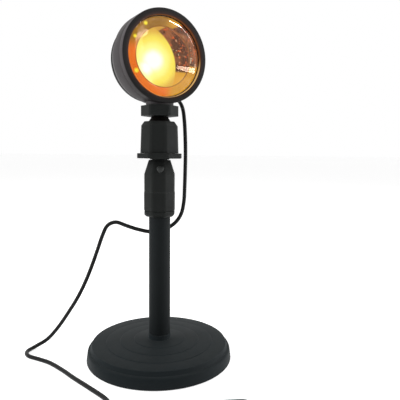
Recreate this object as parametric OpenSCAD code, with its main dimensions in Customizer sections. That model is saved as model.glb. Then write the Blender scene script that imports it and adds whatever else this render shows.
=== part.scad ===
// Sunset projection lamp: weighted round base, telescopic mast with a twist lock, ball joint,
// drum head with a domed lens, and a thin USB lead with an in-line switch.
// Millimetres, +Z up, origin on the table at the middle of the base.

/* [Base] */
// Diameter of the base at the table
base_d = 110; // [100:1:140]
// Height of the skirt, up to the start of the shoulder
skirt_h = 7; // [6:0.5:10]
// How far the skirt draws in over its height
skirt_draft = 0.8; // [0:0.1:2]
// Width of the rounded shoulder
shoulder_w = 1.9; // [1:0.1:4]
// Height of the rounded shoulder
shoulder_h = 1.9; // [1:0.1:4]
// Height of the steep step above the shoulder
step_h = 3.4; // [2:0.1:6]
// How far the steep step draws in
step_draft = 1.2; // [0.2:0.1:3]
// Radial pitch of the flat rings on the top
ring_pitch = 10.5; // [6:0.5:12]
// Rise from one flat ring to the next
ring_rise = 0.5; // [0.2:0.1:1]
// Diameter of the boss under the mast
boss_d = 16.4; // [16:0.2:20]
// Height of the boss above the top rings
boss_h = 3.2; // [2:0.2:8]
// Width of the rim that the bottom plate drops into
rim_w = 3.4; // [2.4:0.2:5]
// Thickness of the base's roof
roof_t = 2.2; // [1.6:0.2:3]
// Diameter of the steel weight
weight_d = 78; // [50:1:80]
// Thickness of the steel weight
weight_t = 5.5; // [3:0.5:6]
// Thickness of the foam foot pad
pad_t = 1.2; // [0.8:0.2:3]
// Thickness of the bottom plate
plate_t = 1.6; // [1:0.2:2.4]

/* [Mast] */
// Outer diameter of the outer tube at its top
tube_top_d = 15.3; // [15:0.1:15.8]
// Outer diameter of the outer tube at its foot
tube_foot_d = 16; // [15.4:0.1:17]
// Bore of the outer tube
tube_bore_d = 12.6; // [12:0.1:13]
// Length of the outer tube
tube_len = 107.4; // [90:1:160]
// Outer diameter of the inner tube
inner_d = 11.4; // [10.6:0.1:11.8]
// Wall of the inner tube
inner_wall = 1; // [0.6:0.1:1.5]
// Length of the inner tube that stays inside at full height
inner_hold = 34; // [20:1:50]
// Height of the end bush on the inner tube
bush_h = 8; // [5:1:12]
// Length of the plug in the foot of the outer tube
foot_plug_h = 11; // [8:1:20]
// Length of the spigot that enters the outer tube
spigot_h = 6; // [3:0.5:10]

/* [Twist lock] */
// Height of the fixed ring under the sleeve
ring_h = 4.3; // [3:0.1:8]
// Height of the sleeve
sleeve_h = 37.3; // [34:0.1:50]
// Height of the thicker grip band of the sleeve
grip_h = 13; // [6:0.5:16]
// Width of the sleeve's grip band across its corners
grip_w = 24.4; // [24:0.1:30]
// Width of the sleeve above the grip band across its corners
sleeve_w = 24; // [23.2:0.1:28]
// Height of the taper at the sleeve's top
sleeve_taper_h = 10.4; // [6:0.1:12]
// Width across corners at the very top of the taper
sleeve_top_w = 17; // [15:0.1:20]
// Outer diameter of the threaded neck inside the sleeve
neck_thread_d = 19.2; // [18.6:0.1:20]
// Height of the threaded neck above the fixed ring
neck_thread_h = 12.4; // [8:0.1:16]
// Number of slots in the collet
collet_slots = 4; // [2:1:6]

/* [Ball joint] */
// Width of the flange across its corners
flange_w = 34.8; // [32:0.1:40]
// Thickness of the flange
flange_t = 3.7; // [2.5:0.1:5]
// Width of the cap nut's foot across its corners
nut_w = 29.8; // [28.4:0.1:32]
// Width of the cap nut near its top across its corners
nut_top_w = 28.3; // [27:0.1:29]
// Height of the cap nut
nut_h = 23; // [22:0.5:28]
// Height of the chamfer on the cap nut
nut_chamfer = 3; // [1.5:0.1:4]
// Diameter of the ball
ball_d = 17.6; // [16:0.1:18]
// Depth of the ball's centre below the top of the cap nut
ball_drop = 3.4; // [3:0.1:4]
// Outer diameter of the threaded cup around the ball
cup_d = 22.6; // [22:0.1:23]
// Diameter of the neck above the ball
neck_d = 12.8; // [11:0.1:13]
// Width of the lock disc across its corners
disc_w = 28.4; // [22:0.1:32]
// Thickness of the lock disc
disc_t = 7.4; // [4:0.1:9]
// Radius on the edges of the lock disc
disc_edge = 0.9; // [0.4:0.1:1.5]
// Diameter of the threaded stud
stud_d = 6.2; // [5:0.1:6.4]
// Turn of the mast's eight flats away from the front, in degrees
flats_turn = -4.5; // [-22:0.5:22]
// Turn of the lock disc's six flats away from the front, in degrees
disc_turn = 0; // [-30:0.5:30]

/* [Head] */
// Outer diameter of the drum
drum_d = 65.8; // [64:0.2:80]
// Straight length of the drum behind the mast's axis
drum_back = 7.3; // [4:0.1:12]
// Length of the drum ahead of the mast's axis, up to the bezel's groove
drum_front = 4.3; // [4:0.1:10]
// Length of the tapered back of the drum
taper_len = 8.7; // [5:0.1:14]
// Loss of diameter over the tapered back
taper_drop = 5.2; // [2:0.2:8]
// Wall of the drum
drum_wall = 2.2; // [1.6:0.1:2.6]
// Depth of the rear cover behind the drum
cover_t = 5.2; // [4.4:0.1:8]
// Wall of the rear cover
cover_wall = 1.8; // [1.2:0.1:2.4]
// Height of the lamp head's optical axis above the ball's centre
head_rise = 48.8; // [46:0.1:60]
// Direction of the head from straight ahead, in degrees
head_yaw = 26; // [-60:1:60]
// Diameter of the pedestal under the drum, at its foot
pedestal_d = 20; // [16:0.5:24]
// Number of vent slots in the rear cover
vent_count = 16; // [8:1:24]
// Inner radius of the ring of vents
vent_r = 14.6; // [14:0.2:18]
// Length of each vent slot
vent_len = 7.4; // [3:0.2:8]
// Width of each vent slot
vent_w = 1.8; // [1:0.1:2.4]
// Radius of the circle that the cover screws lie on
screw_circle = 26.2; // [25.9:0.1:26.4]

/* [Lens and light] */
// Length of the bezel's outer band
bezel_len = 5.6; // [5:0.1:9]
// Clear aperture of the bezel
aperture_d = 56.6; // [50:0.2:57]
// Thickness of the lens at its edge
lens_edge_t = 2.1; // [1.5:0.1:3]
// Radius of the dome of the lens
dome_r = 60; // [45:1:120]
// Diameter of the colour filter disc
filter_d = 47.4; // [44:0.2:48]
// Thickness of the colour filter disc
filter_t = 1.1; // [0.8:0.1:2]
// Depth of the reflector dish
cup_depth = 1.9; // [1.2:0.1:2.4]
// Clear diameter of the well in front of the colour filter
well_d = 46.4; // [40:0.2:46.6]
// Clear diameter of the lip at the front of the well
well_lip_d = 39.6; // [36:0.2:46]
// Diameter of the light source
emitter_d = 12; // [6:0.5:12.4]
// Diameter of the circuit board under the light source
board_d = 14; // [13.8:0.1:14.2]
// Number of fins on the heat sink
fin_count = 9; // [5:2:13]

/* [Lead] */
// Diameter of the lead
lead_d = 3; // [2:0.1:3.2]
// Depth of the lead's exit below the head's axis
exit_drop = 9; // [8:0.5:10]
// Length of the strain relief behind the rear cover
relief_len = 12.4; // [8:0.1:16]
// Outer turn radius of the coil, at the middle of the lead
coil_r_out = 19.3; // [16:0.1:24]
// Inner turn radius of the coil, at the middle of the lead
coil_r_in = 11; // [10:0.1:14]
// Turns in one layer of the coil
layer_turns = 2.3125; // [1:0.0625:3]
// Height from one layer of the coil to the next
layer_pitch = 3.5; // [3.1:0.1:4]
// Width of the tie round the coil
tie_w = 6; // [4:0.5:10]

/* [In-line switch] */
// Length of the switch body
switch_l = 56; // [50:1:70]
// Width of the switch body
switch_w = 20; // [17:0.5:26]
// Height of the switch body
switch_h = 13.2; // [12:0.2:18]
// Wall of the switch body
switch_wall = 1.6; // [1.2:0.1:2]
// Length of the rocker
rocker_l = 17; // [12:0.5:20]
// Width of the rocker
rocker_w = 9; // [6:0.5:11]
// Travel of the rocker, in degrees
rocker_swing = 16; // [10:1:20]

/* [USB plug] */
// Length of the plug's grip
grip_l = 22; // [18:0.5:30]
// Width of the plug's grip
grip_across = 15; // [14:0.2:18]
// Height of the plug's grip
grip_t = 8; // [7:0.2:10]
// Length of the metal shell that shows
usb_l = 14; // [10:0.5:18]

/* [Hidden] */

$fn = 96;
tiny = 0.01;
// a tapered flat-sided piece is this much narrower than the straight one that it meets
hair = 0.04;
fine_fn = 160;
// radial play of parts that turn or slide on each other
run_fit = 0.06;
// play of parts that drop into each other and stay
seat_fit = 0.1;
// gap that is left between parts of different bodies
body_gap = 0.3;

// Base heights and radii
skirt_gap = 0.5;
edge = 0.5;
ring_count = 3;
band_rise = 0.25;
boss_fillet = 0.6;
base_r = base_d / 2;
shoulder_r = base_r - skirt_draft;
step_r = shoulder_r - shoulder_w;
top_r = step_r - step_draft;
step_z = skirt_h + shoulder_h;
top_z = step_z + step_h;
crown_z = top_z + ring_count * (ring_rise + band_rise) + band_rise;
boss_top = crown_z + boss_fillet + boss_h;
boss_r = boss_d / 2;
plate_top = pad_t + plate_t;
plate_r = base_r - rim_w - seat_fit;
ledge_w = 1.6;
cavity_r = plate_r - ledge_w;
roof_z = top_z - roof_t;
pillar_r = 3.4;
pillar_circle = cavity_r - pillar_r - 1;
pillar_count = 3;
plate_screw_d = 2.9;
plate_screw_head_d = 5.6;
plate_screw_len = 5;
core_r = 9.2;
mast_screw_d = 5;
mast_head_d = 9.2;
mast_head_h = 3.2;
washer_t = 0.8;
washer_r = 5.4;
washer_z = plate_top + 0.4 + mast_head_h;
hole_play = 0.2;

// Mast heights
tube_z = boss_top + seat_fit;
tube_top = tube_z + tube_len;
spigot_top = boss_top + spigot_h;
foot_plug_z = spigot_top + seat_fit;
foot_plug_top = foot_plug_z + foot_plug_h;
bush_z = foot_plug_top + 2;
ring_z = tube_top - neck_thread_h - ring_h - 0.3;
sleeve_z = ring_z + ring_h + 0.4;
sleeve_top = sleeve_z + sleeve_h;
inner_top = sleeve_top + body_gap;
inner_r = inner_d / 2;
bore_r = tube_bore_d / 2;
mast_travel = inner_top - bush_z - inner_hold;
collet_z = tube_top;
collet_h = 18.5;
collet_foot_r = 7.6;
collet_tip_r = 7;
slot_w = 1.2;
hub_r = 7.2;
hub_h = 2;
hub_z = inner_top;
hub_top = hub_z + hub_h;
post_r = 4;

// Ball joint heights
flange_z = hub_z + 0.85;
nut_z = flange_z + flange_t + 0.1;
nut_top = nut_z + nut_h;
ball_r = ball_d / 2;
ball_z = nut_top - ball_drop;
nut_lip_r = ball_r + body_gap;
cup_r = cup_d / 2;
cup_wall = 2;
cup_top = nut_top - 4.6;
cup_floor = flange_z + flange_t + 2.15;
seat_ledge = cup_floor + 4.4;
ledge_bore_r = 7.6;
neck_r = neck_d / 2;
neck_top = ball_z + 7.1;
disc_z = neck_top + body_gap;
disc_top = disc_z + disc_t;
post_top = cup_floor + body_gap;
hub_washer_t = 1;
hub_head_h = 2.2;
hub_screw_d = 3;

// Head, measured along its own axis from the mast's axis; plus is towards the lens
// the drum is never narrower than the bezel's face asks for, and then the head rises with it
face_w = 4.6;
head_clear = 0.8;
drum_r = max(drum_d, aperture_d + 2 * face_w) / 2;
head_z = max(ball_z + head_rise, disc_top + head_clear + drum_r);
drum_in_r = drum_r - drum_wall;
back_r = drum_r - taper_drop / 2;
back_a = -drum_back - taper_len;
cover_a = back_a - cover_t;
cover_round = 2.2;
groove_w = 0.45;
groove_depth = 0.8;
bezel_a = drum_front + groove_w;
bezel_front = bezel_a + bezel_len;
aperture_r = aperture_d / 2;
lip_depth = 2.2;
lens_top_a = bezel_front - lip_depth - 0.2;
lens_r = aperture_r + 0.9;
lens_back_a = lens_top_a - lens_edge_t;
dome_foot_r = aperture_r - 0.3;
dome_sag = dome_r - sqrt(dome_r * dome_r - dome_foot_r * dome_foot_r);
skirt_r = drum_in_r - 0.15;
bezel_skirt = 5;
ledge_a = bezel_a - bezel_skirt - 0.6;
ledge_d = 1.6;
skirt_in_r = skirt_r - 1.2;
seal_r = 0.75;
seal_ring_r = aperture_r - 0.4;
seal_a = lens_back_a - seal_r - 0.05;
holder_front = seal_a - seal_r - 0.05;
holder_r = drum_in_r - ledge_d - seat_fit;
holder_in_r = well_d / 2;
lip_t = 1.8;
// the back end stacks up from the rear cover: fins, plate, board, dish and colour filter
fin_h = 1.2;
fin_t = 1.2;
fin_pitch = 4;
sink_t = 1.2;
sink_a = cover_a + cover_wall + 0.4 + fin_h;
cover_lip_t = 1.4;
sink_r = holder_r - cover_lip_t - seat_fit;
board_t = 1.2;
board_a = sink_a + sink_t;
emitter_t = 0.8;
cup_wall_t = 0.7;
cup_back_a = board_a + board_t + seat_fit + cup_wall_t;
cup_mouth_a = cup_back_a + cup_depth;
cup_mouth_r = holder_in_r;
cup_throat_r = emitter_d / 2 + 1.4;
filter_a = cup_mouth_a + seat_fit;
holder_back = cup_mouth_a;
gland_r = 3.9;
gland_t = 2.4;
relief_r = 2.9;
relief_tip_r = 1.95;
slot_up = relief_r + 2;
cover_screw_d = 2;
cover_screw_head_d = 3.6;
cover_screw_len = 7;
cover_screw_count = 3;
cover_boss_r = 2;
boss_lift = 1.6;
insert_r = 3.9;
pedestal_z = disc_top + body_gap;
insert_h = head_z - drum_in_r - 0.1 - pedestal_z;
pedestal_flare = 1.5;
pedestal_h = 12;
stud_top = pedestal_z + insert_h - 0.3;

// Lead. The route's points are chosen by hand along the lead as it hangs and lies.
lead_r = lead_d / 2;
relief_tip = cover_a - gland_t - relief_len;
exit_tip = along_head(relief_tip);
exit_run = along_head(relief_tip - 6);
route = [exit_tip, exit_run,
    [-17, 43, 213], [-12, 48, 210], [-4, 48.5, 206.5], [4, 45, 203.5], [10.5, 38, 201],
    [15.2, 30, 197.5], [18, 23.5, 191], [19.2, 19.5, 181], [19.8, 17, 168], [20, 15.5, 155],
    [19.8, 15, 142], [19.5, 15, 130], [19, 15, 119], [17, 15, 109], [12, 15, 101.5],
    [4, 15, 96.5], [-6, 15, 94.5], [-17, 15, 96.5], [-26, 15, 99.5], [-34, 15, 102.2],
    [-40.5, 15, 99.5], [-44.5, 15, 91.5], [-48.5, 15.3, 80], [-53, 16, 67.5],
    [-58.5, 17, 54], [-65, 18.5, 41], [-73, 20.5, 28], [-81.5, 22.5, 15.5],
    [-90, 22.5, 6], [-98, 18, 2.2], [-102.5, 10, 1.5], [-99.5, 2, 1.5],
    [-90.5, -4, 1.5], [-80.5, -11, 1.5], [-69, -23, 1.5], [-58.5, -35.5, 1.5],
    [-46, -49.5, 1.5], [-33.5, -64.5, 1.5], [-28.6, -77, 1.5], [-25.8, -86.5, 2],
    [-23.2, -93.9, 3.4], [-19.5, -98.3, 5.2]];
cut_side = 8;
cut_drop = 11;
cut_fall = 14;
cut_table = 31;

// Switch, coil and plug on the table
switch_x = -2;
switch_y = -100;
switch_mid_z = 6.6;
sw_relief_l = 8;
sw_relief_tip_r = 2;
sw_relief_foot_r = 2.8;
rocker_z = 11;
rocker_play = 0.35;
rocker_pin_r = 1;
coil_x = 55;
coil_y = -134;
tie_t = 0.6;
tie_gap = 0.3;
coil_z = lead_r + tie_t + tie_gap;
layers = 4;
loop_steps = 24;
coil_sides = 6;
cord_sides = 8;
ring_step = 7.6;
coil_turns = layers * layer_turns;
coil_top_z = coil_z + (layers - 1) * layer_pitch;
coil_in = [coil_x + coil_r_out, coil_y + lead_d, coil_z];
coil_end_a = -360 * coil_turns;
coil_out = [coil_x + coil_r_out * cos(coil_end_a) + lead_d * sin(coil_end_a),
            coil_y + coil_r_out * sin(coil_end_a) - lead_d * cos(coil_end_a), coil_top_z];
plug_x = 26;
plug_y = -152.8;
plug_z = grip_t / 2;
plug_relief_l = 7;
usb_w = 12;
usb_t = 4.5;
usb_wall = 0.35;
tongue_t = 1.6;
switch_in = [switch_x - sw_relief_l, switch_y, switch_mid_z];
switch_out = [switch_x + switch_l + sw_relief_l, switch_y, switch_mid_z];
switch_approach = [switch_in - [4, 0, 0], switch_in];
link_route = [switch_out, switch_out + [4, 0, 0], [switch_out[0] + 9.5, -104, 4.6],
    [coil_in[0], -114, 2.6], coil_in + [0, 4, 0], coil_in];
tail_route = [coil_out, coil_out + [-4, 0, 0], [40, plug_y, 10.2], [34.5, plug_y, 6.4],
    [plug_x + 3.5, plug_y, plug_z], [plug_x, plug_y, plug_z]];

function along_head(a) =
    [a * sin(head_yaw), -a * cos(head_yaw), head_z - exit_drop];

function unit(v) = v / norm(v);

// Smooth curve through the points: n steps in each span
function spline_point(a, b, c, d, s) =
    0.5 * (2 * b + (c - a) * s + (2 * a - 5 * b + 4 * c - d) * s * s
           + (3 * b - a - 3 * c + d) * s * s * s);

function knot(p, i) =
    i < 0 ? 2 * p[0] - p[1]
    : i >= len(p) ? 2 * p[len(p) - 1] - p[len(p) - 2]
    : p[i];

function span_steps(p, i, step) = max(1, round(norm(p[i + 1] - p[i]) / step));

function curve(p, first, last, step) = concat(
    [for (i = [first : last - 1])
        let (n = span_steps(p, i, step))
        for (k = [0 : n - 1])
            spline_point(knot(p, i - 1), p[i], p[i + 1], knot(p, i + 2), k / n)],
    [p[last]]);

// Direction of the curve at its two ends, so that neighbouring stretches meet face to face
function end_dir(p, i) = unit(knot(p, i + 1) - knot(p, i - 1));

function run_length(q, i = 0) = i >= len(q) - 1 ? 0 : norm(q[i + 1] - q[i]) + run_length(q, i + 1);

function mid_dirs(q, d0, d1) =
    [for (i = [0 : len(q) - 1])
        i == 0 ? d0 : i == len(q) - 1 ? d1 : unit(q[i + 1] - q[i - 1])];

function any_side(t) = unit(cross(t, abs(t[2]) < 0.8 ? [0, 0, 1] : [1, 0, 0]));

function carried_sides(t) =
    [for (i = 0, s = any_side(t[0]); i < len(t);
          i = i + 1, s = i < len(t) ? unit(s - (s * t[i]) * t[i]) : s) s];

// Tube swept along the points q, with the end directions d0 and d1
module swept_tube(q, d0, d1, r, sides) {
    t = mid_dirs(q, d0, d1);
    s = carried_sides(t);
    n = len(q);
    ring_points = [for (i = [0 : n - 1])
        let (u = s[i], v = cross(t[i], s[i]))
        for (k = [0 : sides - 1])
            let (w = 360 * (k + 0.5) / sides)
            q[i] + r * (cos(w) * u + sin(w) * v)];
    side_faces = [for (i = [0 : n - 2], k = [0 : sides - 1])
        let (a = i * sides + k, b = i * sides + (k + 1) % sides)
        each [[a, a + sides, b], [b, a + sides, b + sides]]];
    caps = [for (k = [1 : sides - 2])
        each [[0, k, k + 1],
              [(n - 1) * sides, (n - 1) * sides + k + 1, (n - 1) * sides + k]]];
    polyhedron(ring_points, concat(side_faces, caps));
}

module stretch(p, first, last) {
    q = curve(p, first, last, ring_step);
    color("#191a1c")
        swept_tube(q, end_dir(p, first), end_dir(p, last), lead_r, cord_sides);
}

// ---------- shared shapes ----------

// Upright prism with eight flats, its corners rounded by a cylinder
module eight(h, w, w_top) {
    round_share = 0.975;
    rotate([0, 0, 22.5 + flats_turn])
        intersection() {
            cylinder(h = h, d1 = w, d2 = w_top, $fn = 8);
            cylinder(h = h, d1 = w * round_share, d2 = w_top * round_share);
        }
}

module ring(h, r_out, r_in) {
    difference() {
        cylinder(h = h, r = r_out);
        translate([0, 0, -1]) cylinder(h = h + 2, r = r_in);
    }
}

// Copies of the children on a circle, the first one at angle first
module around(count, radius, first = 0) {
    for (i = [0 : count - 1])
        rotate([0, 0, first + i * 360 / count])
            translate([radius, 0, 0]) children();
}

// Moves a piece drawn along +Z (plus is towards the lens) onto the head's axis
module on_head() {
    translate([0, 0, head_z])
        rotate([0, 0, head_yaw])
            rotate([90, 0, 0]) children();
}

// Disc or ring of the head, from station a, t thick
module head_ring(a, t, r_out, r_in) {
    translate([0, 0, a]) ring(t, r_out, r_in);
}

// ---------- base ----------

function shoulder_arc() =
    [for (t = [0 : 15 : 90])
        [step_r + shoulder_w * cos(t), skirt_h + shoulder_h * sin(t)]];

// Flat rings of the top, each one a little higher towards the middle
function top_bands() =
    [for (k = [0 : ring_count])
        let (r = top_r - edge - k * ring_pitch,
             z = top_z + k * (ring_rise + band_rise))
        each (k == ring_count
            ? [[r, z], [boss_r + boss_fillet, crown_z], [boss_r, crown_z + boss_fillet]]
            : [[r, z], [r - ring_pitch + edge, z + band_rise]])];

module base_shell() {
    outline = concat(
        [[0, skirt_gap], [base_r - edge / 2, skirt_gap], [base_r, skirt_gap + edge]],
        shoulder_arc(),
        [[top_r, top_z - edge]],
        top_bands(),
        [[boss_r, boss_top - edge / 2], [boss_r - edge / 2, boss_top],
         [bore_r - seat_fit, boss_top], [bore_r - seat_fit, spigot_top], [0, spigot_top]]);
    color("#202225")
        difference() {
            union() {
                difference() {
                    rotate_extrude($fn = fine_fn) polygon(outline);
                    cylinder(h = plate_top, r = plate_r + seat_fit, $fn = fine_fn);
                    cylinder(h = roof_z, r = cavity_r);
                }
                translate([0, 0, plate_top]) {
                    cylinder(h = roof_z - plate_top + tiny, r = core_r);
                    around(pillar_count, pillar_circle)
                        cylinder(h = roof_z - plate_top + tiny, r = pillar_r);
                }
            }
            cylinder(h = spigot_top + 1, d = mast_screw_d + 2 * hole_play);
            cylinder(h = washer_z + washer_t, r = washer_r + hole_play);
            around(pillar_count, pillar_circle)
                cylinder(h = plate_top + plate_screw_len + 1, d = plate_screw_d + seat_fit);
        }
}

module base_weight() {
    color("#6d7073")
        translate([0, 0, plate_top]) ring(weight_t, weight_d / 2, core_r + 0.5);
}

module base_plate() {
    color("#1b1c1e")
        translate([0, 0, pad_t])
            difference() {
                cylinder(h = plate_t, r = plate_r);
                around(pillar_count, pillar_circle)
                    translate([0, 0, -1])
                        cylinder(h = plate_t + 2, d = plate_screw_d + hole_play);
                around(pillar_count, pillar_circle)
                    cylinder(h = plate_t - 0.2, d1 = plate_screw_head_d + hole_play,
                             d2 = plate_screw_d + hole_play);
            }
}

module foot_pad() {
    color("#2a2b2c") cylinder(h = pad_t, r = plate_r - 1.5);
}

module plate_screws() {
    color("silver")
        around(pillar_count, pillar_circle)
            translate([0, 0, pad_t]) {
                cylinder(h = plate_t - 0.2, d1 = plate_screw_head_d, d2 = plate_screw_d);
                cylinder(h = plate_t + plate_screw_len, d = plate_screw_d);
            }
}

module mast_screw() {
    color("silver")
        translate([0, 0, washer_z - mast_head_h])
            difference() {
                union() {
                    cylinder(h = mast_head_h, d = mast_head_d);
                    cylinder(h = foot_plug_top - 1 - washer_z + mast_head_h, d = mast_screw_d);
                }
                translate([0, 0, -1]) cylinder(h = 3, d = 4, $fn = 6);
            }
}

module mast_washer() {
    color("silver")
        translate([0, 0, washer_z]) ring(washer_t, washer_r, mast_screw_d / 2 + 0.05);
}

module foot_plug() {
    color("dimgray")
        translate([0, 0, foot_plug_z])
            ring(foot_plug_h, bore_r - seat_fit, mast_screw_d / 2 + 0.05);
}

// ---------- mast and twist lock ----------

module outer_tube() {
    straight = neck_thread_h + ring_h + 1;
    color("#1d1f21")
        translate([0, 0, tube_z])
            difference() {
                union() {
                    cylinder(h = tube_len - straight, d1 = tube_foot_d, d2 = tube_top_d);
                    cylinder(h = tube_len, d = tube_top_d);
                }
                translate([0, 0, -1]) cylinder(h = tube_len + 2, r = bore_r);
            }
}

module lock_ring() {
    lip = 2.8;
    foot_w = (sleeve_top_w + grip_w) / 2;
    color("#1f2123")
        translate([0, 0, ring_z])
            difference() {
                union() {
                    eight(ring_h - lip + hair, foot_w, grip_w - 0.4 - hair);
                    translate([0, 0, ring_h - lip]) eight(lip, grip_w - 0.4, grip_w - 0.4);
                    cylinder(h = ring_h + neck_thread_h, d = neck_thread_d);
                    for (k = [0 : 3])
                        translate([0, 0, ring_h + 1.6 + 2.4 * k])
                            cylinder(h = 1, d = neck_thread_d + 0.5);
                }
                translate([0, 0, -1])
                    cylinder(h = ring_h + neck_thread_h + 2, d = tube_top_d + seat_fit);
            }
}

module collet() {
    color("#3a3c3f")
        translate([0, 0, collet_z])
            difference() {
                cylinder(h = collet_h, r1 = collet_foot_r, r2 = collet_tip_r);
                translate([0, 0, -1]) cylinder(h = collet_h + 2, r = inner_r + run_fit);
                for (i = [0 : collet_slots - 1])
                    rotate([0, 0, i * 360 / collet_slots])
                        translate([0, -slot_w / 2, 4])
                            cube([collet_foot_r + 1, slot_w, collet_h]);
            }
}

// Small raised pointer on the front of the sleeve's taper
module sleeve_pointer() {
    lean = atan((sleeve_w - sleeve_top_w) / 2 * cos(22.5) / sleeve_taper_h);
    aside = 1.2;
    rise = 2.8;
    foot_y = sleeve_w / 2 * cos(22.5);
    rotate([0, 0, flats_turn])
        translate([aside, -foot_y, sleeve_h - sleeve_taper_h])
            rotate([90 - lean, 0, 0])
                difference() {
                    hull() {
                        translate([0, 2.4, -1.5]) cylinder(h = rise, r1 = 1.9, r2 = 1.3, $fn = 24);
                        for (x = [-1.7, 1.7])
                            translate([x, 5.2, -1.5])
                                cylinder(h = rise, r1 = 2, r2 = 1.3, $fn = 24);
                    }
                    translate([0, 2.3, 0.2]) cylinder(h = 2, r = 0.85, $fn = 24);
                }
}

module lock_sleeve() {
    thread_r = neck_thread_d / 2 + 0.25 + run_fit;
    cone_z = neck_thread_h + 1;
    cone_h = collet_h - cone_z + neck_thread_h + 0.3;
    upper_h = sleeve_h - sleeve_taper_h - grip_h;
    color("#1f2123")
        translate([0, 0, sleeve_z])
            difference() {
                union() {
                    eight(grip_h, grip_w, grip_w);
                    translate([0, 0, grip_h - hair])
                        eight(1 + hair, grip_w - hair, sleeve_w - hair);
                    translate([0, 0, grip_h]) eight(upper_h, sleeve_w, sleeve_w);
                    translate([0, 0, grip_h + upper_h - hair])
                        eight(sleeve_taper_h + hair, sleeve_w - hair, sleeve_top_w);
                    sleeve_pointer();
                }
                translate([0, 0, -1]) cylinder(h = cone_z + 1, r = thread_r);
                translate([0, 0, cone_z - tiny])
                    cylinder(h = cone_h, r1 = thread_r, r2 = collet_tip_r + body_gap + 0.3);
                cylinder(h = sleeve_h + 1, r = inner_r + body_gap);
            }
}

module inner_tube() {
    color("#2b2d30")
        translate([0, 0, bush_z])
            ring(inner_top - bush_z, inner_r, inner_r - inner_wall);
}

module tube_bush() {
    color("#4a4c4f")
        translate([0, 0, bush_z]) ring(bush_h, bore_r - run_fit, inner_r + seat_fit / 2);
}

module mast_plug() {
    plug_len = 13;
    color("#2b2d30")
        difference() {
            union() {
                translate([0, 0, hub_z - plug_len])
                    cylinder(h = plug_len, r = inner_r - inner_wall - seat_fit / 2);
                translate([0, 0, hub_z]) cylinder(h = hub_h, r = hub_r);
                translate([0, 0, hub_top - tiny])
                    cylinder(h = post_top - hub_top + tiny, r = post_r);
            }
            translate([0, 0, hub_z - plug_len + 2])
                cylinder(h = plug_len + 20, d = hub_screw_d + seat_fit);
        }
}

module hub_screw() {
    color("silver")
        translate([0, 0, post_top]) {
            cylinder(h = hub_washer_t, r = post_r + 1.6);
            cylinder(h = hub_washer_t + hub_head_h, r = 2.8);
            translate([0, 0, -12]) cylinder(h = 12 + tiny, d = hub_screw_d);
        }
}

// ---------- ball joint ----------

module ball_housing() {
    color("#1f2123")
        difference() {
            union() {
                translate([0, 0, flange_z]) eight(flange_t, flange_w, flange_w);
                translate([0, 0, flange_z])
                    cylinder(h = cup_top - flange_z, r = cup_r - 0.3);
                for (k = [0 : 4])
                    translate([0, 0, flange_z + flange_t + 2 + 2.6 * k])
                        cylinder(h = 1.1, r = cup_r);
            }
            translate([0, 0, flange_z - 1])
                cylinder(h = hub_top + body_gap - flange_z + 1, r = hub_r + body_gap);
            translate([0, 0, flange_z]) cylinder(h = 10, r = post_r + run_fit);
            translate([0, 0, cup_floor]) cylinder(h = 30, r = ledge_bore_r);
            translate([0, 0, seat_ledge]) cylinder(h = 30, r = cup_r - cup_wall);
        }
}

module ball_seat() {
    color("#8a8c8f")
        difference() {
            translate([0, 0, seat_ledge]) ring(ball_z - 3 - seat_ledge, cup_r - cup_wall - seat_fit / 2, 5);
            translate([0, 0, ball_z]) sphere(r = ball_r + run_fit);
        }
}

module cap_nut() {
    chamfer_w = 2 * nut_chamfer / cos(22.5) * 0.72;
    color("#1f2123")
        difference() {
            union() {
                translate([0, 0, nut_z]) eight(nut_h - nut_chamfer, nut_w, nut_top_w);
                translate([0, 0, nut_top - nut_chamfer])
                    eight(nut_chamfer, nut_top_w, nut_top_w - chamfer_w);
            }
            translate([0, 0, nut_z - 1])
                cylinder(h = cup_top + body_gap - nut_z + 1, r = cup_r + run_fit);
            translate([0, 0, ball_z]) sphere(r = nut_lip_r);
        }
}

module ball_stud() {
    blend = 1.2;
    color("#252729")
        difference() {
            union() {
                intersection() {
                    translate([0, 0, ball_z]) sphere(r = ball_r);
                    translate([0, 0, ball_z - ball_r - 1])
                        cylinder(h = neck_top - blend - ball_z + ball_r + 1, r = ball_r + 1);
                }
                translate([0, 0, ball_z])
                    cylinder(h = neck_top - ball_z - blend / 2, r = neck_r);
                translate([0, 0, neck_top - blend / 2])
                    cylinder(h = blend / 2, r1 = neck_r, r2 = neck_r - blend / 2);
                translate([0, 0, ball_z]) cylinder(h = stud_top - ball_z - 0.6, d = stud_d);
                translate([0, 0, stud_top - 0.6 - tiny])
                    cylinder(h = 0.6, d1 = stud_d, d2 = stud_d - 1.2);
            }
            translate([0, 0, ball_z - ball_r - 1]) cylinder(h = 2.2, r = ball_r);
        }
}

module lock_disc() {
    w = disc_w;
    color("#222426")
        translate([0, 0, disc_z])
            difference() {
                rotate([0, 0, disc_turn])
                    intersection() {
                        union() {
                            cylinder(h = disc_edge, d1 = w - 2 * disc_edge, d2 = w, $fn = 6);
                            translate([0, 0, disc_edge])
                                cylinder(h = disc_t - 2 * disc_edge, d = w, $fn = 6);
                            translate([0, 0, disc_t - disc_edge])
                                cylinder(h = disc_edge, d1 = w, d2 = w - 2 * disc_edge, $fn = 6);
                        }
                        union() {
                            cylinder(h = disc_edge, d1 = w - 1 - 2 * disc_edge, d2 = w - 1);
                            translate([0, 0, disc_edge])
                                cylinder(h = disc_t - 2 * disc_edge, d = w - 1);
                            translate([0, 0, disc_t - disc_edge])
                                cylinder(h = disc_edge, d1 = w - 1, d2 = w - 1 - 2 * disc_edge);
                        }
                    }
                translate([0, 0, -1]) cylinder(h = disc_t + 2, d = stud_d + 2 * run_fit);
            }
}

// ---------- head ----------

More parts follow.
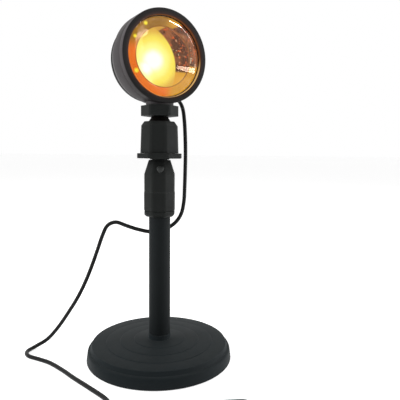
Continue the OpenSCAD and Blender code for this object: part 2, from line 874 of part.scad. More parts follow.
module drum_shell() {
    band = [[0, back_a], [back_r, back_a], [drum_r, -drum_back], [drum_r, drum_front],
            [0, drum_front]];
    color("#232527")
        difference() {
            union() {
                on_head()
                    difference() {
                        rotate_extrude($fn = fine_fn) polygon(band);
                        translate([0, 0, back_a - 1])
                            cylinder(h = drum_front - back_a + 2, r = drum_in_r - ledge_d);
                        translate([0, 0, ledge_a]) cylinder(h = 20, r = drum_in_r);
                    }
                intersection() {
                    translate([0, 0, pedestal_z])
                        cylinder(h = pedestal_h, r1 = pedestal_d / 2,
                                 r2 = pedestal_d / 2 + pedestal_flare);
                    on_head()
                        rotate_extrude($fn = fine_fn)
                            polygon([[drum_in_r - ledge_d, back_a], [drum_r + 9, back_a],
                                     [drum_r + 9, drum_front], [drum_in_r, drum_front],
                                     [drum_in_r, ledge_a], [drum_in_r - ledge_d, ledge_a]]);
                }
                on_head()
                    translate([0, 0, back_a + boss_lift])
                        around(cover_screw_count, screw_circle, 90) {
                            cylinder(h = cover_screw_len - boss_lift + 1, r = cover_boss_r);
                            translate([0, -1.2, 0])
                                cube([drum_in_r - screw_circle - 0.9, 2.4,
                                      cover_screw_len - boss_lift + 1]);
                        }
            }
            translate([0, 0, pedestal_z - 1])
                cylinder(h = insert_h + 3, r = insert_r + seat_fit / 2);
            on_head()
                translate([0, 0, back_a - 1])
                    around(cover_screw_count, screw_circle, 90)
                        cylinder(h = cover_screw_len, d = cover_screw_d + seat_fit);
        }
}

module stud_insert() {
    color("goldenrod")
        translate([0, 0, pedestal_z]) {
            ring(insert_h, insert_r - 0.3, stud_d / 2 + run_fit);
            for (k = [0, 1])
                translate([0, 0, insert_h * (0.12 + 0.46 * k)])
                    ring(insert_h * 0.3, insert_r, stud_d / 2 + run_fit);
        }
}

module rear_cover() {
    inner_a = back_a;
    lip_r = drum_in_r - ledge_d - seat_fit;
    rim_r = back_r - 0.2;
    rounding = [for (t = [0 : 15 : 90])
        [rim_r - cover_round + cover_round * cos(t), cover_a + cover_round - cover_round * sin(t)]];
    color("#202224")
        on_head()
            difference() {
                union() {
                    difference() {
                        union() {
                            rotate_extrude($fn = fine_fn)
                                polygon(concat([[0, inner_a], [rim_r, inner_a]], rounding,
                                               [[0, cover_a]]));
                            translate([0, 0, inner_a - tiny])
                                ring(1.4, lip_r, lip_r - cover_lip_t);
                        }
                        translate([0, 0, cover_a + cover_wall])
                            cylinder(h = cover_t + 2, r = lip_r - cover_lip_t);
                    }
                    translate([0, 0, cover_a + 0.5])
                        around(cover_screw_count, screw_circle, 90)
                            cylinder(h = cover_t + boss_lift - seat_fit - 0.5, r = cover_boss_r);
                }
                around(vent_count, vent_r + vent_len / 2, 180 / vent_count)
                    translate([-vent_len / 2, -vent_w / 2, cover_a - 1])
                        cube([vent_len, vent_w, cover_wall + 2]);
                around(cover_screw_count, screw_circle, 90) {
                    translate([0, 0, cover_a - 1])
                        cylinder(h = cover_t + boss_lift + 2, d = cover_screw_d + hole_play);
                    translate([0, 0, cover_a - 1])
                        cylinder(h = 2.4, d = cover_screw_head_d + hole_play);
                }
                translate([0, -exit_drop, cover_a - 1])
                    cylinder(h = cover_wall + 2, r = relief_r + seat_fit / 2);
                for (turn = [45 : 90 : 315])
                    rotate([0, 0, turn])
                        translate([vent_r - 3.5, -0.4, cover_a - 1]) cube([2, 0.8, 1.5]);
            }
}

module cover_screws() {
    color("silver")
        on_head()
            translate([0, 0, cover_a + 0.2])
                around(cover_screw_count, screw_circle, 90)
                    difference() {
                        union() {
                            cylinder(h = 1.2, d = cover_screw_head_d);
                            cylinder(h = cover_screw_len + cover_t - 2, d = cover_screw_d);
                        }
                        translate([-1, -0.25, -1]) cube([2, 0.5, 1.5]);
                        translate([-0.25, -1, -1]) cube([0.5, 2, 1.5]);
                    }
}

module heat_sink() {
    color("lightgray")
        on_head()
            difference() {
                union() {
                    translate([0, 0, sink_a]) cylinder(h = sink_t, r = sink_r);
                    for (k = [-(fin_count - 1) / 2 : (fin_count - 1) / 2])
                        let (x = k * fin_pitch,
                             reach = sqrt(pow(vent_r + vent_len, 2) - x * x))
                        translate([x - fin_t / 2, -exit_drop + slot_up, sink_a - fin_h])
                            cube([fin_t, reach + exit_drop - slot_up, fin_h + tiny]);
                }
                around(cover_screw_count, screw_circle, 90)
                    translate([-cover_boss_r - 0.5, -cover_boss_r - 0.5, sink_a - 1])
                        cube([9, 2 * cover_boss_r + 1, sink_t + 2]);
                translate([-relief_r - 0.4, -exit_drop - 4, sink_a - 1])
                    cube([2 * relief_r + 0.8, 4 + slot_up - 2.2, sink_t + 2]);
            }
}

module led_board() {
    color("white")
        on_head()
            translate([0, 0, board_a])
                difference() {
                    cylinder(h = board_t, d = board_d);
                    around(6, board_d / 2, 30)
                        translate([0, 0, -1]) cylinder(h = board_t + 2, r = 1.3);
                }
}

module led_emitter() {
    color("gold")
        on_head()
            translate([0, 0, board_a + board_t]) {
                cylinder(h = emitter_t / 2, r = emitter_d / 2 + 0.8);
                cylinder(h = emitter_t, d = emitter_d);
            }
}

// Points of the dish's wall from the throat to the mouth, bowed like a parabola
function cup_wall_line(offset) =
    [for (i = [0 : 8])
        let (s = i / 8)
        [cup_throat_r + (cup_mouth_r - cup_throat_r) * s,
         cup_back_a + cup_depth * s * s + offset]];

module reflector() {
    inner = cup_wall_line(0);
    outer = cup_wall_line(-cup_wall_t);
    color("whitesmoke")
        on_head()
            rotate_extrude($fn = fine_fn)
                polygon(concat(inner, [for (i = [8 : -1 : 0]) outer[i]]));
}

module colour_filter() {
    color("orange", 0.7)
        on_head() head_ring(filter_a, filter_t, filter_d / 2, 0);
}

// Deep ring that holds the colour filter at its back, and has a thin lip behind the lens
module filter_ring() {
    pocket = filter_t + 2 * seat_fit;
    color("#2c2e30")
        on_head()
            difference() {
                head_ring(holder_back, holder_front - holder_back, holder_r, well_lip_d / 2);
                translate([0, 0, holder_back - 1])
                    cylinder(h = pocket + 1, r = filter_d / 2 + seat_fit);
                translate([0, 0, holder_back + pocket - tiny])
                    cylinder(h = holder_front - lip_t - holder_back - pocket, r = holder_in_r);
                translate([0, 0, back_a])
                    around(cover_screw_count, screw_circle, 90) {
                        cylinder(h = cover_screw_len + 1 + seat_fit, r = cover_boss_r + hole_play);
                        translate([0, -cover_boss_r - hole_play, 0])
                            cube([9, 2 * (cover_boss_r + hole_play),
                                  cover_screw_len + 1 + seat_fit]);
                    }
            }
}

module lens_seal() {
    color("#151515")
        on_head()
            translate([0, 0, seal_a])
                rotate_extrude() translate([seal_ring_r, 0]) circle(r = seal_r, $fn = 24);
}

module lens() {
    color("orange", 0.5)
        on_head()
            union() {
                translate([0, 0, lens_back_a]) cylinder(h = lens_edge_t, r = lens_r, $fn = fine_fn);
                intersection() {
                    translate([0, 0, lens_top_a + dome_sag - dome_r]) sphere(r = dome_r, $fn = fine_fn);
                    translate([0, 0, lens_top_a - tiny])
                        cylinder(h = dome_sag + 1, r = dome_foot_r, $fn = fine_fn);
                }
            }
}

module front_bezel() {
    face_in_r = aperture_r + 0.8;
    seat_a = lens_top_a + 0.1;
    color("#1c1d1f")
        on_head()
            rotate_extrude($fn = fine_fn)
                polygon([[skirt_in_r, bezel_a - bezel_skirt], [skirt_r, bezel_a - bezel_skirt],
                         [skirt_r, drum_front + 0.05],
                         [drum_r - groove_depth, drum_front + 0.05],
                         [drum_r - groove_depth, bezel_a], [drum_r, bezel_a],
                         [drum_r, bezel_front - 0.8], [drum_r - 0.25, bezel_front - 0.25],
                         [drum_r - 0.8, bezel_front], [face_in_r, bezel_front],
                         [aperture_r, bezel_front - 0.6], [aperture_r, seat_a],
                         [skirt_in_r, seat_a]]);
}

// Two insulated wires from the board's edge, through the heat sink's notch, to the cable's end
module led_wires() {
    wire_r = 0.6;
    color("firebrick")
        on_head()
            for (side = [-1, 1])
                let (y0 = -sqrt(board_d * board_d / 4 - 2.56) - 0.15, z0 = board_a + 0.6,
                     y1 = -exit_drop - 0.6, z1 = cover_a + cover_wall + 0.82,
                     q = [[side * 1.6, y0, z0], [side * 1.5, y0 - 0.9, z0],
                          [side * 1.2, y1 + 0.5, z0 - 0.3], [side * 0.9, y1, z0 - 1],
                          [side * 0.9, y1, z1 + 0.8], [side * 0.9, y1, z1]])
                    swept_tube(q, [0, -1, 0], [0, 0, -1], wire_r, 8);
}

module strain_relief() {
    groove_pitch = 2.2;
    color("#17181a")
        on_head()
            translate([0, -exit_drop, cover_a])
                difference() {
                    union() {
                        translate([0, 0, -gland_t]) cylinder(h = gland_t, r = gland_r);
                        cylinder(h = cover_wall + 0.8, r = relief_r);
                        translate([0, 0, -gland_t - relief_len])
                            cylinder(h = relief_len, r1 = relief_tip_r, r2 = relief_r);
                    }
                    for (k = [0 : floor((relief_len - 4) / groove_pitch)])
                        translate([0, 0, -gland_t - 1.8 - k * groove_pitch])
                            ring(0.7, relief_r + 1, relief_r - 0.6 - 0.2 * k);
                }
}

// ---------- lead ----------

module cord_exit() stretch(route, 0, cut_side);
module cord_side() stretch(route, cut_side, cut_drop);
module cord_drop() stretch(route, cut_drop, cut_fall);
module cord_fall() stretch(route, cut_fall, cut_table);
module cord_table() stretch(concat(route, switch_approach), cut_table,
                            len(route) + len(switch_approach) - 1);
module cord_link() stretch(link_route, 0, len(link_route) - 1);
module cord_tail() stretch(tail_route, 0, len(tail_route) - 1);

// Radius of the coil after t turns: in, out, in, out at a steady rate
function coil_r(t) =
    let (s = t / layer_turns, f = s - floor(s), inward = floor(s) % 2 == 0,
         share = s >= layers ? 1 : inward ? f : 1 - f)
    s >= layers ? (layers % 2 == 0 ? coil_r_out : coil_r_in)
    : coil_r_out + (coil_r_in - coil_r_out) * share;

// Height of the coil after t turns: a layer is climbed in the half turn round each reversal
function coil_rise(t) =
    let (steps = [for (k = [1 : layers - 1])
        min(1, max(0, (t - k * layer_turns + 0.25) / 0.5))])
    coil_z + layer_pitch * sum(steps);

function sum(v, i = 0) = i >= len(v) ? 0 : v[i] + sum(v, i + 1);

function coil_points() =
    let (n = ceil(coil_turns * loop_steps))
    concat([coil_in],
           [for (i = [0 : n])
               let (t = i * coil_turns / n, a = -360 * t, r = coil_r(t))
               [coil_x + r * cos(a), coil_y + r * sin(a), coil_rise(t)]],
           [coil_out]);

module cord_coil() {
    q = coil_points();
    color("#191a1c")
        swept_tube(q, [0, -1, 0], [sin(coil_end_a), -cos(coil_end_a), 0], lead_r, coil_sides);
}

// Least gap between turns, measured on points at least half a turn apart
function coil_gap(q) =
    min([for (i = [0 : len(q) - 1], j = [i + loop_steps / 2 : 1 : len(q) - 1])
        norm(q[i] - q[j])]) - lead_d;

module coil_tie() {
    in_x = coil_r_in - lead_r - tie_gap;
    out_x = coil_r_out + lead_r + tie_gap;
    top = coil_top_z + lead_r + tie_gap;
    color("#3b3d40")
        translate([coil_x, coil_y, 0])
            rotate([0, 0, 125])
                translate([0, tie_w / 2, 0])
                    rotate([90, 0, 0])
                        difference() {
                            rounded_slab(in_x - tie_t, out_x + tie_t, 0, top + tie_t, 2.6, tie_w);
                            translate([0, 0, -1])
                                rounded_slab(in_x, out_x, tie_t, top, 2, tie_w + 2);
                        }
}

// Slab with rounded corners between x0 and x1, y0 and y1, and t thick
module rounded_slab(x0, x1, y0, y1, r, t) {
    linear_extrude(height = t) {
        translate([x0 + r, y0]) square([x1 - x0 - 2 * r, y1 - y0]);
        translate([x0, y0 + r]) square([x1 - x0, y1 - y0 - 2 * r]);
        for (x = [x0 + r, x1 - r], y = [y0 + r, y1 - r])
            translate([x, y]) circle(r = r, $fn = 32);
    }
}

// ---------- in-line switch ----------

// Block with all edges rounded, drawn from its plan, its side and its end
module soft_block(l, w, h, r_plan, r_edge) {
    intersection() {
        translate([0, 0, 0]) rounded_slab(0, l, -w / 2, w / 2, r_plan, h);
        translate([0, w / 2 + 1, 0])
            rotate([90, 0, 0]) rounded_slab(0, l, 0, h, r_edge, w + 2);
        translate([-1, 0, 0])
            rotate([90, 0, 90]) rounded_slab(-w / 2, w / 2, 0, h, r_edge, l + 2);
    }
}

module switch_place() {
    translate([switch_x, switch_y, 0]) children();
}

// Points along X at the height of the lead's axis
module switch_axis() {
    translate([0, 0, switch_mid_z]) rotate([0, 90, 0]) children();
}

module switch_shell() {
    inset = switch_wall;
    difference() {
        soft_block(switch_l, switch_w, switch_h, 6, 2.4);
        translate([inset, 0, inset])
            soft_block(switch_l - 2 * inset, switch_w - 2 * inset, switch_h - 2 * inset, 4.6, 1);
    }
}

module switch_reliefs() {
    bite = 2.6;
    for (end = [0, 1])
        translate([end * switch_l, 0, 0])
            mirror([end, 0, 0])
                switch_axis()
                    difference() {
                        union() {
                            translate([0, 0, -sw_relief_l])
                                cylinder(h = sw_relief_l, r1 = sw_relief_tip_r,
                                         r2 = sw_relief_foot_r);
                            cylinder(h = bite, r = sw_relief_foot_r);
                        }
                        for (k = [0 : 2])
                            translate([0, 0, -1.9 - 2 * k])
                                ring(0.7, 4, sw_relief_foot_r - 0.6 - 0.25 * k);
                    }
}

module switch_base() {
    color("#1b1c1e")
        switch_place()
            union() {
                intersection() {
                    switch_shell();
                    translate([-1, -switch_w, -1])
                        cube([switch_l + 2, 2 * switch_w, switch_mid_z + 1]);
                }
                switch_reliefs();
                for (x = [9, switch_l - 9])
                    translate([x, 0, switch_wall - tiny]) ring(3.6, 2.2, 0.9);
            }
}

module switch_cover() {
    seam = 0.1;
    color("#1d1e20")
        switch_place()
            difference() {
                union() {
                    intersection() {
                        switch_shell();
                        translate([-1, -switch_w, switch_mid_z + seam])
                            cube([switch_l + 2, 2 * switch_w, switch_h]);
                    }
                    for (side = [-1, 1])
                        translate([switch_l / 2 - 3,
                                   side * (rocker_w / 2 + rocker_play + 0.9) - 0.9,
                                   rocker_z - 2.4])
                            cube([6, 1.8, switch_h - rocker_z + 1.6]);
                }
                translate([-1, 0, switch_mid_z])
                    rotate([0, 90, 0])
                        cylinder(h = switch_l + 2, r = sw_relief_foot_r + seat_fit);
                translate([switch_l / 2 - rocker_l / 2 - rocker_play,
                           -rocker_w / 2 - rocker_play, switch_mid_z])
                    cube([rocker_l + 2 * rocker_play, rocker_w + 2 * rocker_play, switch_h]);
                translate([switch_l / 2, 0, rocker_z])
                    rotate([90, 0, 0])
                        cylinder(h = rocker_w + 4, r = rocker_pin_r + run_fit, center = true);
            }
}

module switch_rocker() {
    half = rocker_l / 2;
    profile = [[-half - 1, -2.4], [-3, -3], [3, -3], [half + 1, -2.4],
               [half + 1, 3.5], [0, 2.5], [-half - 1, 3.5]];
    color("#26282b")
        translate([switch_x + switch_l / 2, switch_y, rocker_z])
            rotate([0, -rocker_swing / 2, 0])
                union() {
                    difference() {
                        intersection() {
                            translate([0, rocker_w / 2, 0])
                                rotate([90, 0, 0]) linear_extrude(height = rocker_w) polygon(profile);
                            rotate([90, 0, 0]) cylinder(h = rocker_w + 2, r = half, center = true);
                        }
                        for (k = [-1 : 1])
                            translate([half - 3.2 + 1.2 * k, 0, 3.7])
                                rotate([90, 0, 0])
                                    cylinder(h = rocker_w - 2.4, r = 0.4, center = true, $fn = 24);
                    }
                    rotate([90, 0, 0])
                        cylinder(h = rocker_w + 3, r = rocker_pin_r, center = true);
                }
}

module switch_spring() {
    spring_w = 5;
    t = 0.4;
    z = switch_wall + 0.05;
    color("goldenrod")
        translate([switch_x + switch_l / 2, switch_y + spring_w / 2, 0])
            rotate([90, 0, 0])
                linear_extrude(height = spring_w)
                    polygon([[-13, z], [-9, z], [0, z + 4.2], [9, z], [13, z], [13, z + t],
                             [8.9, z + t], [0.4, z + 4.2 + t], [-0.4, z + 4.2 + t],
                             [-8.9, z + t], [-13, z + t]]);
}

// ---------- plug ----------

module plug_place() {
    translate([plug_x - plug_relief_l, plug_y, 0]) rotate([0, 0, 180]) children();
}

module plug_grip() {
    pocket = 4;
    color("#1b1c1e")
        plug_place()
            difference() {
                union() {
                    soft_block(grip_l, grip_across, grip_t, 3, 2.2);
                    translate([-plug_relief_l, 0, plug_z])
                        rotate([0, 90, 0])
                            difference() {
                                cylinder(h = plug_relief_l + 3, r1 = sw_relief_tip_r,
                                         r2 = sw_relief_foot_r + 0.3);
                                for (k = [0 : 2])
                                    translate([0, 0, 1.4 + 1.9 * k])
                                        ring(0.7, 4, sw_relief_tip_r - 0.35 + 0.25 * k);
                            }
                }
                translate([grip_l - pocket, -usb_w / 2 - seat_fit / 2,
                           plug_z - usb_t / 2 - seat_fit / 2])
                    cube([pocket + 1, usb_w + seat_fit, usb_t + seat_fit]);
                for (side = [-1, 1], k = [0 : 3])
                    translate([grip_l / 2 - 4.5 + 3 * k, side * grip_across / 2, -1])
                        cylinder(h = grip_t + 2, r = 0.5, $fn = 24);
            }
}

module plug_shell() {
    hold = 3.8;
    color("silver")
        plug_place()
            translate([grip_l - hold, 0, plug_z])
                difference() {
                    translate([0, -usb_w / 2, -usb_t / 2]) cube([usb_l + hold, usb_w, usb_t]);
                    translate([-1, -usb_w / 2 + usb_wall, -usb_t / 2 + usb_wall])
                        cube([usb_l + hold + 2, usb_w - 2 * usb_wall, usb_t - 2 * usb_wall]);
                    for (y = [-2.75, 2.75])
                        translate([hold + 6.2, y - 1.1, 0]) cube([2.4, 2.2, usb_t]);
                }
}

module plug_tongue() {
    hold = 3.8;
    contact_t = 0.15;
    tongue_w = usb_w - 2 * usb_wall - 0.2;
    bottom = -usb_t / 2 + usb_wall + 0.05;
    color("white")
        plug_place()
            translate([grip_l - hold, 0, plug_z + bottom])
                union() {
                    translate([0, -tongue_w / 2, 0])
                        cube([usb_l + hold - 0.6, tongue_w, tongue_t]);
                    for (y = [-3.5, -1, 1, 3.5])
                        translate([hold, y - 0.6, tongue_t - tiny])
                            cube([usb_l - 3, 1.2, contact_t]);
                }
}

// ---------- lengths and gaps, for the record ----------

full_route = concat(route, switch_approach);
q_head = curve(full_route, 0, len(full_route) - 1, ring_step);
q_link = curve(link_route, 0, len(link_route) - 1, ring_step);
q_tail = curve(tail_route, 0, len(tail_route) - 1, ring_step);
q_coil = coil_points();
total = run_length(q_head) + run_length(q_link) + run_length(q_tail) + run_length(q_coil)
        + switch_l + 2 * sw_relief_l;
echo(lead_to_switch = run_length(q_head), link = run_length(q_link), coil = run_length(q_coil),
     tail = run_length(q_tail), lead_in_all = total,
     rings = len(q_head) + len(q_link) + len(q_tail), coil_rings = len(q_coil),
     least_coil_gap = coil_gap(q_coil));
echo(mast_travel = mast_travel, sleeve_top = sleeve_top, ball_z = ball_z, disc_top = disc_top,
     head_z = head_z, top = head_z + drum_r, head_yaw = head_yaw, post_top = post_top);

base_shell();
base_weight();
base_plate();
foot_pad();
plate_screws();
mast_screw();
mast_washer();
foot_plug();
outer_tube();
lock_ring();
collet();
lock_sleeve();
inner_tube();
tube_bush();
mast_plug();
hub_screw();
ball_housing();
ball_seat();
cap_nut();
ball_stud();
lock_disc();
drum_shell();
stud_insert();
rear_cover();
cover_screws();
heat_sink();
led_board();
led_emitter();
reflector();
colour_filter();
filter_ring();
lens_seal();
lens();
front_bezel();
led_wires();
strain_relief();
cord_exit();
cord_side();
cord_drop();
cord_fall();
cord_table();
cord_link();
cord_coil();
cord_tail();
coil_tie();
switch_base();
switch_cover();
switch_rocker();
switch_spring();
plug_grip();
plug_shell();
plug_tongue();
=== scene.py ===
"""Sunset projection lamp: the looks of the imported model, in its own frame, in metres."""

from math import asin, atan2, ceil, cos, pi, radians, sin, sqrt

import bpy
from mathutils import Matrix, Vector


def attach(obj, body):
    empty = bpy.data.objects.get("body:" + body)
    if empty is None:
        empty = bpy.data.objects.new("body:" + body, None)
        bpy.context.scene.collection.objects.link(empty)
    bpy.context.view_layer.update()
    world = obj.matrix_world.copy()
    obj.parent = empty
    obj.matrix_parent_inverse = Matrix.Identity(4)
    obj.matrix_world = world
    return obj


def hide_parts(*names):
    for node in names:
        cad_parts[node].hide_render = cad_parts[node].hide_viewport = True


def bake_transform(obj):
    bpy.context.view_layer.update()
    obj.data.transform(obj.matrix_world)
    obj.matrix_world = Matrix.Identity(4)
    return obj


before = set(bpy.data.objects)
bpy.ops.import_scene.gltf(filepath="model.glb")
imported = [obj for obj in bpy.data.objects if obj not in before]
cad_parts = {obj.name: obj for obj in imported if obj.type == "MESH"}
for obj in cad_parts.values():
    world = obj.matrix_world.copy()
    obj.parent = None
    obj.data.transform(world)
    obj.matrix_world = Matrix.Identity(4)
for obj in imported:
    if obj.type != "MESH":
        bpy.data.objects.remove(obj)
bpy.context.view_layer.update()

MM = 0.001


def link(thing):
    bpy.context.scene.collection.objects.link(thing)


# ---------------- camera

CAMERA_FOCAL_PX = 457.31
PICTURE_PX = 400
SENSOR_MM = 36
CAMERA_BACK = 342 * MM
CAMERA_UP = 157.3 * MM
CAMERA_PITCH = radians(6.0)
CAMERA_YAW = radians(5.07)
CAMERA_ROLL = radians(0.59)
CAMERA_NEAR, CAMERA_FAR = 0.01, 100


def place_camera():
    forward = Vector((sin(CAMERA_YAW) * cos(CAMERA_PITCH),
                      cos(CAMERA_YAW) * cos(CAMERA_PITCH),
                      -sin(CAMERA_PITCH)))
    level = Vector((cos(CAMERA_YAW), -sin(CAMERA_YAW), 0))
    upright = level.cross(forward)
    right = cos(CAMERA_ROLL) * level + sin(CAMERA_ROLL) * upright
    up = cos(CAMERA_ROLL) * upright - sin(CAMERA_ROLL) * level
    turn = Matrix((right, up, -forward)).transposed().to_4x4()
    camera = bpy.data.objects.new("camera", bpy.data.cameras.new("camera"))
    camera.matrix_world = Matrix.Translation((0, -CAMERA_BACK, CAMERA_UP)) @ turn
    camera.data.sensor_width = SENSOR_MM
    camera.data.lens = CAMERA_FOCAL_PX / PICTURE_PX * SENSOR_MM
    camera.data.clip_start = CAMERA_NEAR
    camera.data.clip_end = CAMERA_FAR
    link(camera)
    bpy.context.scene.camera = camera


place_camera()
bpy.context.scene.view_settings.view_transform = "Standard"


# ---------------- selecting and placing

def leave_edit():
    bpy.ops.object.mode_set(mode="OBJECT")


def start_fresh():
    """Object mode with nothing selected."""
    if bpy.context.object and bpy.context.object.mode != "OBJECT":
        leave_edit()
    bpy.ops.object.select_all(action="DESELECT")


def take(piece):
    """The piece alone is selected and active."""
    start_fresh()
    piece.select_set(True)
    bpy.context.view_layer.objects.active = piece


def pick_all():
    bpy.ops.mesh.select_all(action="SELECT")


def edit_all():
    """Edit mode with all of the active piece selected."""
    bpy.ops.object.mode_set(mode="EDIT")
    pick_all()


def apply_place():
    """The active piece's place, turn and size go into its mesh."""
    bpy.ops.object.transform_apply(location=True, rotation=True, scale=True)


# ---------------- the lead

LEAD_R = 1.5 * MM
LEAD_SIDES = 14
LEAD_STEP = 2.0

HEAD_YAW = radians(26)
HEAD_Z = 224.45
EXIT_DROP = 9
RELIEF_TIP_A = -36.0


def along_head(a):
    return (a * sin(HEAD_YAW), -a * cos(HEAD_YAW), HEAD_Z - EXIT_DROP)


LEAD_ROUTE = [
    along_head(RELIEF_TIP_A), along_head(RELIEF_TIP_A - 6),
    (-17, 43, 213), (-12, 48, 210), (-4, 48.5, 206.5), (4, 45, 203.5), (10.5, 38, 201),
    (15.2, 30, 197.5), (18, 23.5, 191), (19.2, 19.5, 181), (19.8, 17, 168), (20, 15.5, 155),
    (19.8, 15, 142), (19.5, 15, 130), (19, 15, 119), (17, 15, 109), (12, 15, 101.5),
    (4, 15, 96.5), (-6, 15, 94.5), (-17, 15, 96.5), (-26, 15, 99.5), (-34, 15, 102.2),
    (-40.5, 15, 99.5), (-44.5, 15, 91.5), (-48.5, 15.3, 80), (-53, 16, 67.5),
    (-58.5, 17, 54), (-65, 18.5, 41), (-73, 20.5, 28), (-81.5, 22.5, 15.5),
    (-90, 22.5, 6), (-98, 18, 2.2), (-102.5, 10, 1.5), (-99.5, 2, 1.5),
    (-90.5, -4, 1.5), (-80.5, -11, 1.5), (-69, -23, 1.5), (-58.5, -35.5, 1.5),
    (-46, -49.5, 1.5), (-33.5, -64.5, 1.5), (-28.6, -77, 1.5), (-25.8, -86.5, 2),
    (-23.2, -93.9, 3.4), (-19.5, -98.3, 5.2), (-14, -100, 6.6), (-10, -100, 6.6),
    (6, -100, 6.6)]
# Knots where one stretch of the lead ends and the next begins
CUT_SIDE, CUT_DROP, CUT_FALL, CUT_TABLE = 8, 11, 14, 31

SWITCH_Y, SWITCH_AXIS = -100, 6.6
PLUG_Y = -152.8
COIL_X, COIL_Y = 55, -134
COIL_R_OUT, COIL_R_IN = 19.3, 11
COIL_Z, LAYER_PITCH, LAYERS, LAYER_TURNS = 2.4, 3.5, 4, 2.3125
COIL_TURNS = LAYERS * LAYER_TURNS
COIL_STEPS = 32
CLIMB = 0.25
COIL_END = radians(-360 * COIL_TURNS)
COIL_RUN_IN = 3
COIL_IN = (COIL_X + COIL_R_OUT, COIL_Y + COIL_RUN_IN, COIL_Z)
COIL_OUT = (COIL_X + COIL_R_OUT * cos(COIL_END) + COIL_RUN_IN * sin(COIL_END),
            COIL_Y + COIL_R_OUT * sin(COIL_END) - COIL_RUN_IN * cos(COIL_END),
            COIL_Z + (LAYERS - 1) * LAYER_PITCH)
LINK_ROUTE = [(62, SWITCH_Y, SWITCH_AXIS), (66, SWITCH_Y, SWITCH_AXIS), (71.5, -104, 4.6),
              (COIL_IN[0], -114, 2.6), (COIL_IN[0], COIL_IN[1] + 4, COIL_IN[2]), COIL_IN]
TAIL_ROUTE = [COIL_OUT, (COIL_OUT[0] - 4, COIL_OUT[1], COIL_OUT[2]), (40, PLUG_Y, 10.2),
              (34.5, PLUG_Y, 6.4), (29.5, PLUG_Y, 4), (26, PLUG_Y, 4)]


def knot(points, i):
    if i < 0:
        return 2 * Vector(points[0]) - Vector(points[1])
    if i >= len(points):
        return 2 * Vector(points[-1]) - Vector(points[-2])
    return Vector(points[i])


def spline_point(a, b, c, d, s):
    return 0.5 * (2 * b + (c - a) * s + (2 * a - 5 * b + 4 * c - d) * s ** 2
                  + (3 * b - a - 3 * c + d) * s ** 3)


def smooth_run(points, first, last):
    """Points in millimetres along the smooth curve between two of its knots."""
    run = []
    for i in range(first, last):
        steps = max(1, round((knot(points, i + 1) - knot(points, i)).length / LEAD_STEP))
        run += [spline_point(knot(points, i - 1), knot(points, i), knot(points, i + 1),
                             knot(points, i + 2), k / steps) for k in range(steps)]
    return run + [knot(points, last)]


def swept_tube(name, run, ways):
    """Lead with closed ends along run, in millimetres, with the directions ways at its ends.
    Returns the piece, its path and its length, both in metres."""
    count, radius = len(run), LEAD_R / MM
    heading = [ways[0]] + [(run[i + 1] - run[i - 1]).normalized()
                           for i in range(1, count - 1)] + [ways[1]]
    side = heading[0].cross(Vector((0, 0, 1) if abs(heading[0].z) < 0.8 else (1, 0, 0)))
    side.normalize()
    verts, length = [], 0.0
    for i in range(count):
        side = (side - side.dot(heading[i]) * heading[i]).normalized()
        other = heading[i].cross(side)
        for k in range(LEAD_SIDES):
            w = 2 * pi * k / LEAD_SIDES
            verts.append((run[i] + radius * (cos(w) * side + sin(w) * other)) * MM)
        if i:
            length += (run[i] - run[i - 1]).length * MM
    faces = []
    for ring in range(0, len(verts) - LEAD_SIDES, LEAD_SIDES):
        for k in range(LEAD_SIDES):
            a, b = ring + k, ring + (k + 1) % LEAD_SIDES
            faces.append((a, b, b + LEAD_SIDES, a + LEAD_SIDES))
    faces += [tuple(reversed(range(LEAD_SIDES))),
              tuple(range(len(verts) - LEAD_SIDES, len(verts)))]
    mesh = bpy.data.meshes.new(name)
    mesh.from_pydata(verts, [], faces)
    for face in mesh.polygons:
        face.use_smooth = len(face.vertices) == 4
    piece = bpy.data.objects.new(name, mesh)
    link(piece)
    return piece, [tuple(p * MM) for p in run], length


def coil_point(t):
    """Point of the coil after t turns, in millimetres: layers wound in and out by turns."""
    layer = min(int(t / LAYER_TURNS), LAYERS - 1)
    share = t / LAYER_TURNS - layer
    inward = layer % 2 == 0
    radius = COIL_R_OUT + (COIL_R_IN - COIL_R_OUT) * (share if inward else 1 - share)
    climbs = [min(1, max(0, (t - k * LAYER_TURNS + CLIMB) / (2 * CLIMB)))
              for k in range(1, LAYERS)]
    angle = -2 * pi * t
    return Vector((COIL_X + radius * cos(angle), COIL_Y + radius * sin(angle),
                   COIL_Z + LAYER_PITCH * sum(climbs)))


def lead_stretch(name, points, first=0, last=None):
    last = len(points) - 1 if last is None else last
    ways = [(knot(points, i + 1) - knot(points, i - 1)).normalized() for i in (first, last)]
    return swept_tube(name, smooth_run(points, first, last), ways)


lead = {name: lead_stretch(name, *cut) for name, *cut in (
    ("lead_exit", LEAD_ROUTE, 0, CUT_SIDE), ("lead_side", LEAD_ROUTE, CUT_SIDE, CUT_DROP),
    ("lead_drop", LEAD_ROUTE, CUT_DROP, CUT_FALL),
    ("lead_fall", LEAD_ROUTE, CUT_FALL, CUT_TABLE), ("lead_table", LEAD_ROUTE, CUT_TABLE),
    ("lead_link", LINK_ROUTE))}
coil_count = ceil(COIL_TURNS * COIL_STEPS)
coil_run = [Vector(COIL_IN)] + [coil_point(i * COIL_TURNS / coil_count)
                                for i in range(coil_count + 1)]
coil_run += smooth_run(TAIL_ROUTE, 0, len(TAIL_ROUTE) - 1)
lead["lead_coil"] = swept_tube("lead_coil", coil_run,
                               [Vector((0, -1, 0)), Vector((-1, 0, 0))])

for name, above, below, first in (("lead_exit", "head", "stud", 3),
                                  ("lead_side", "stud", "housing", 0),
                                  ("lead_drop", "housing", "mast", 0)):
    piece, path, _ = lead[name]
    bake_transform(piece)
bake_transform(lead["lead_fall"][0])
for name in ("lead_table", "lead_link", "lead_coil"):
    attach(lead[name][0], "base")


def declare_lead(name, far_end, lay, *nodes, with_pieces=()):
    """Hides the nodes that the stretch stands for."""
    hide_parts(*nodes)


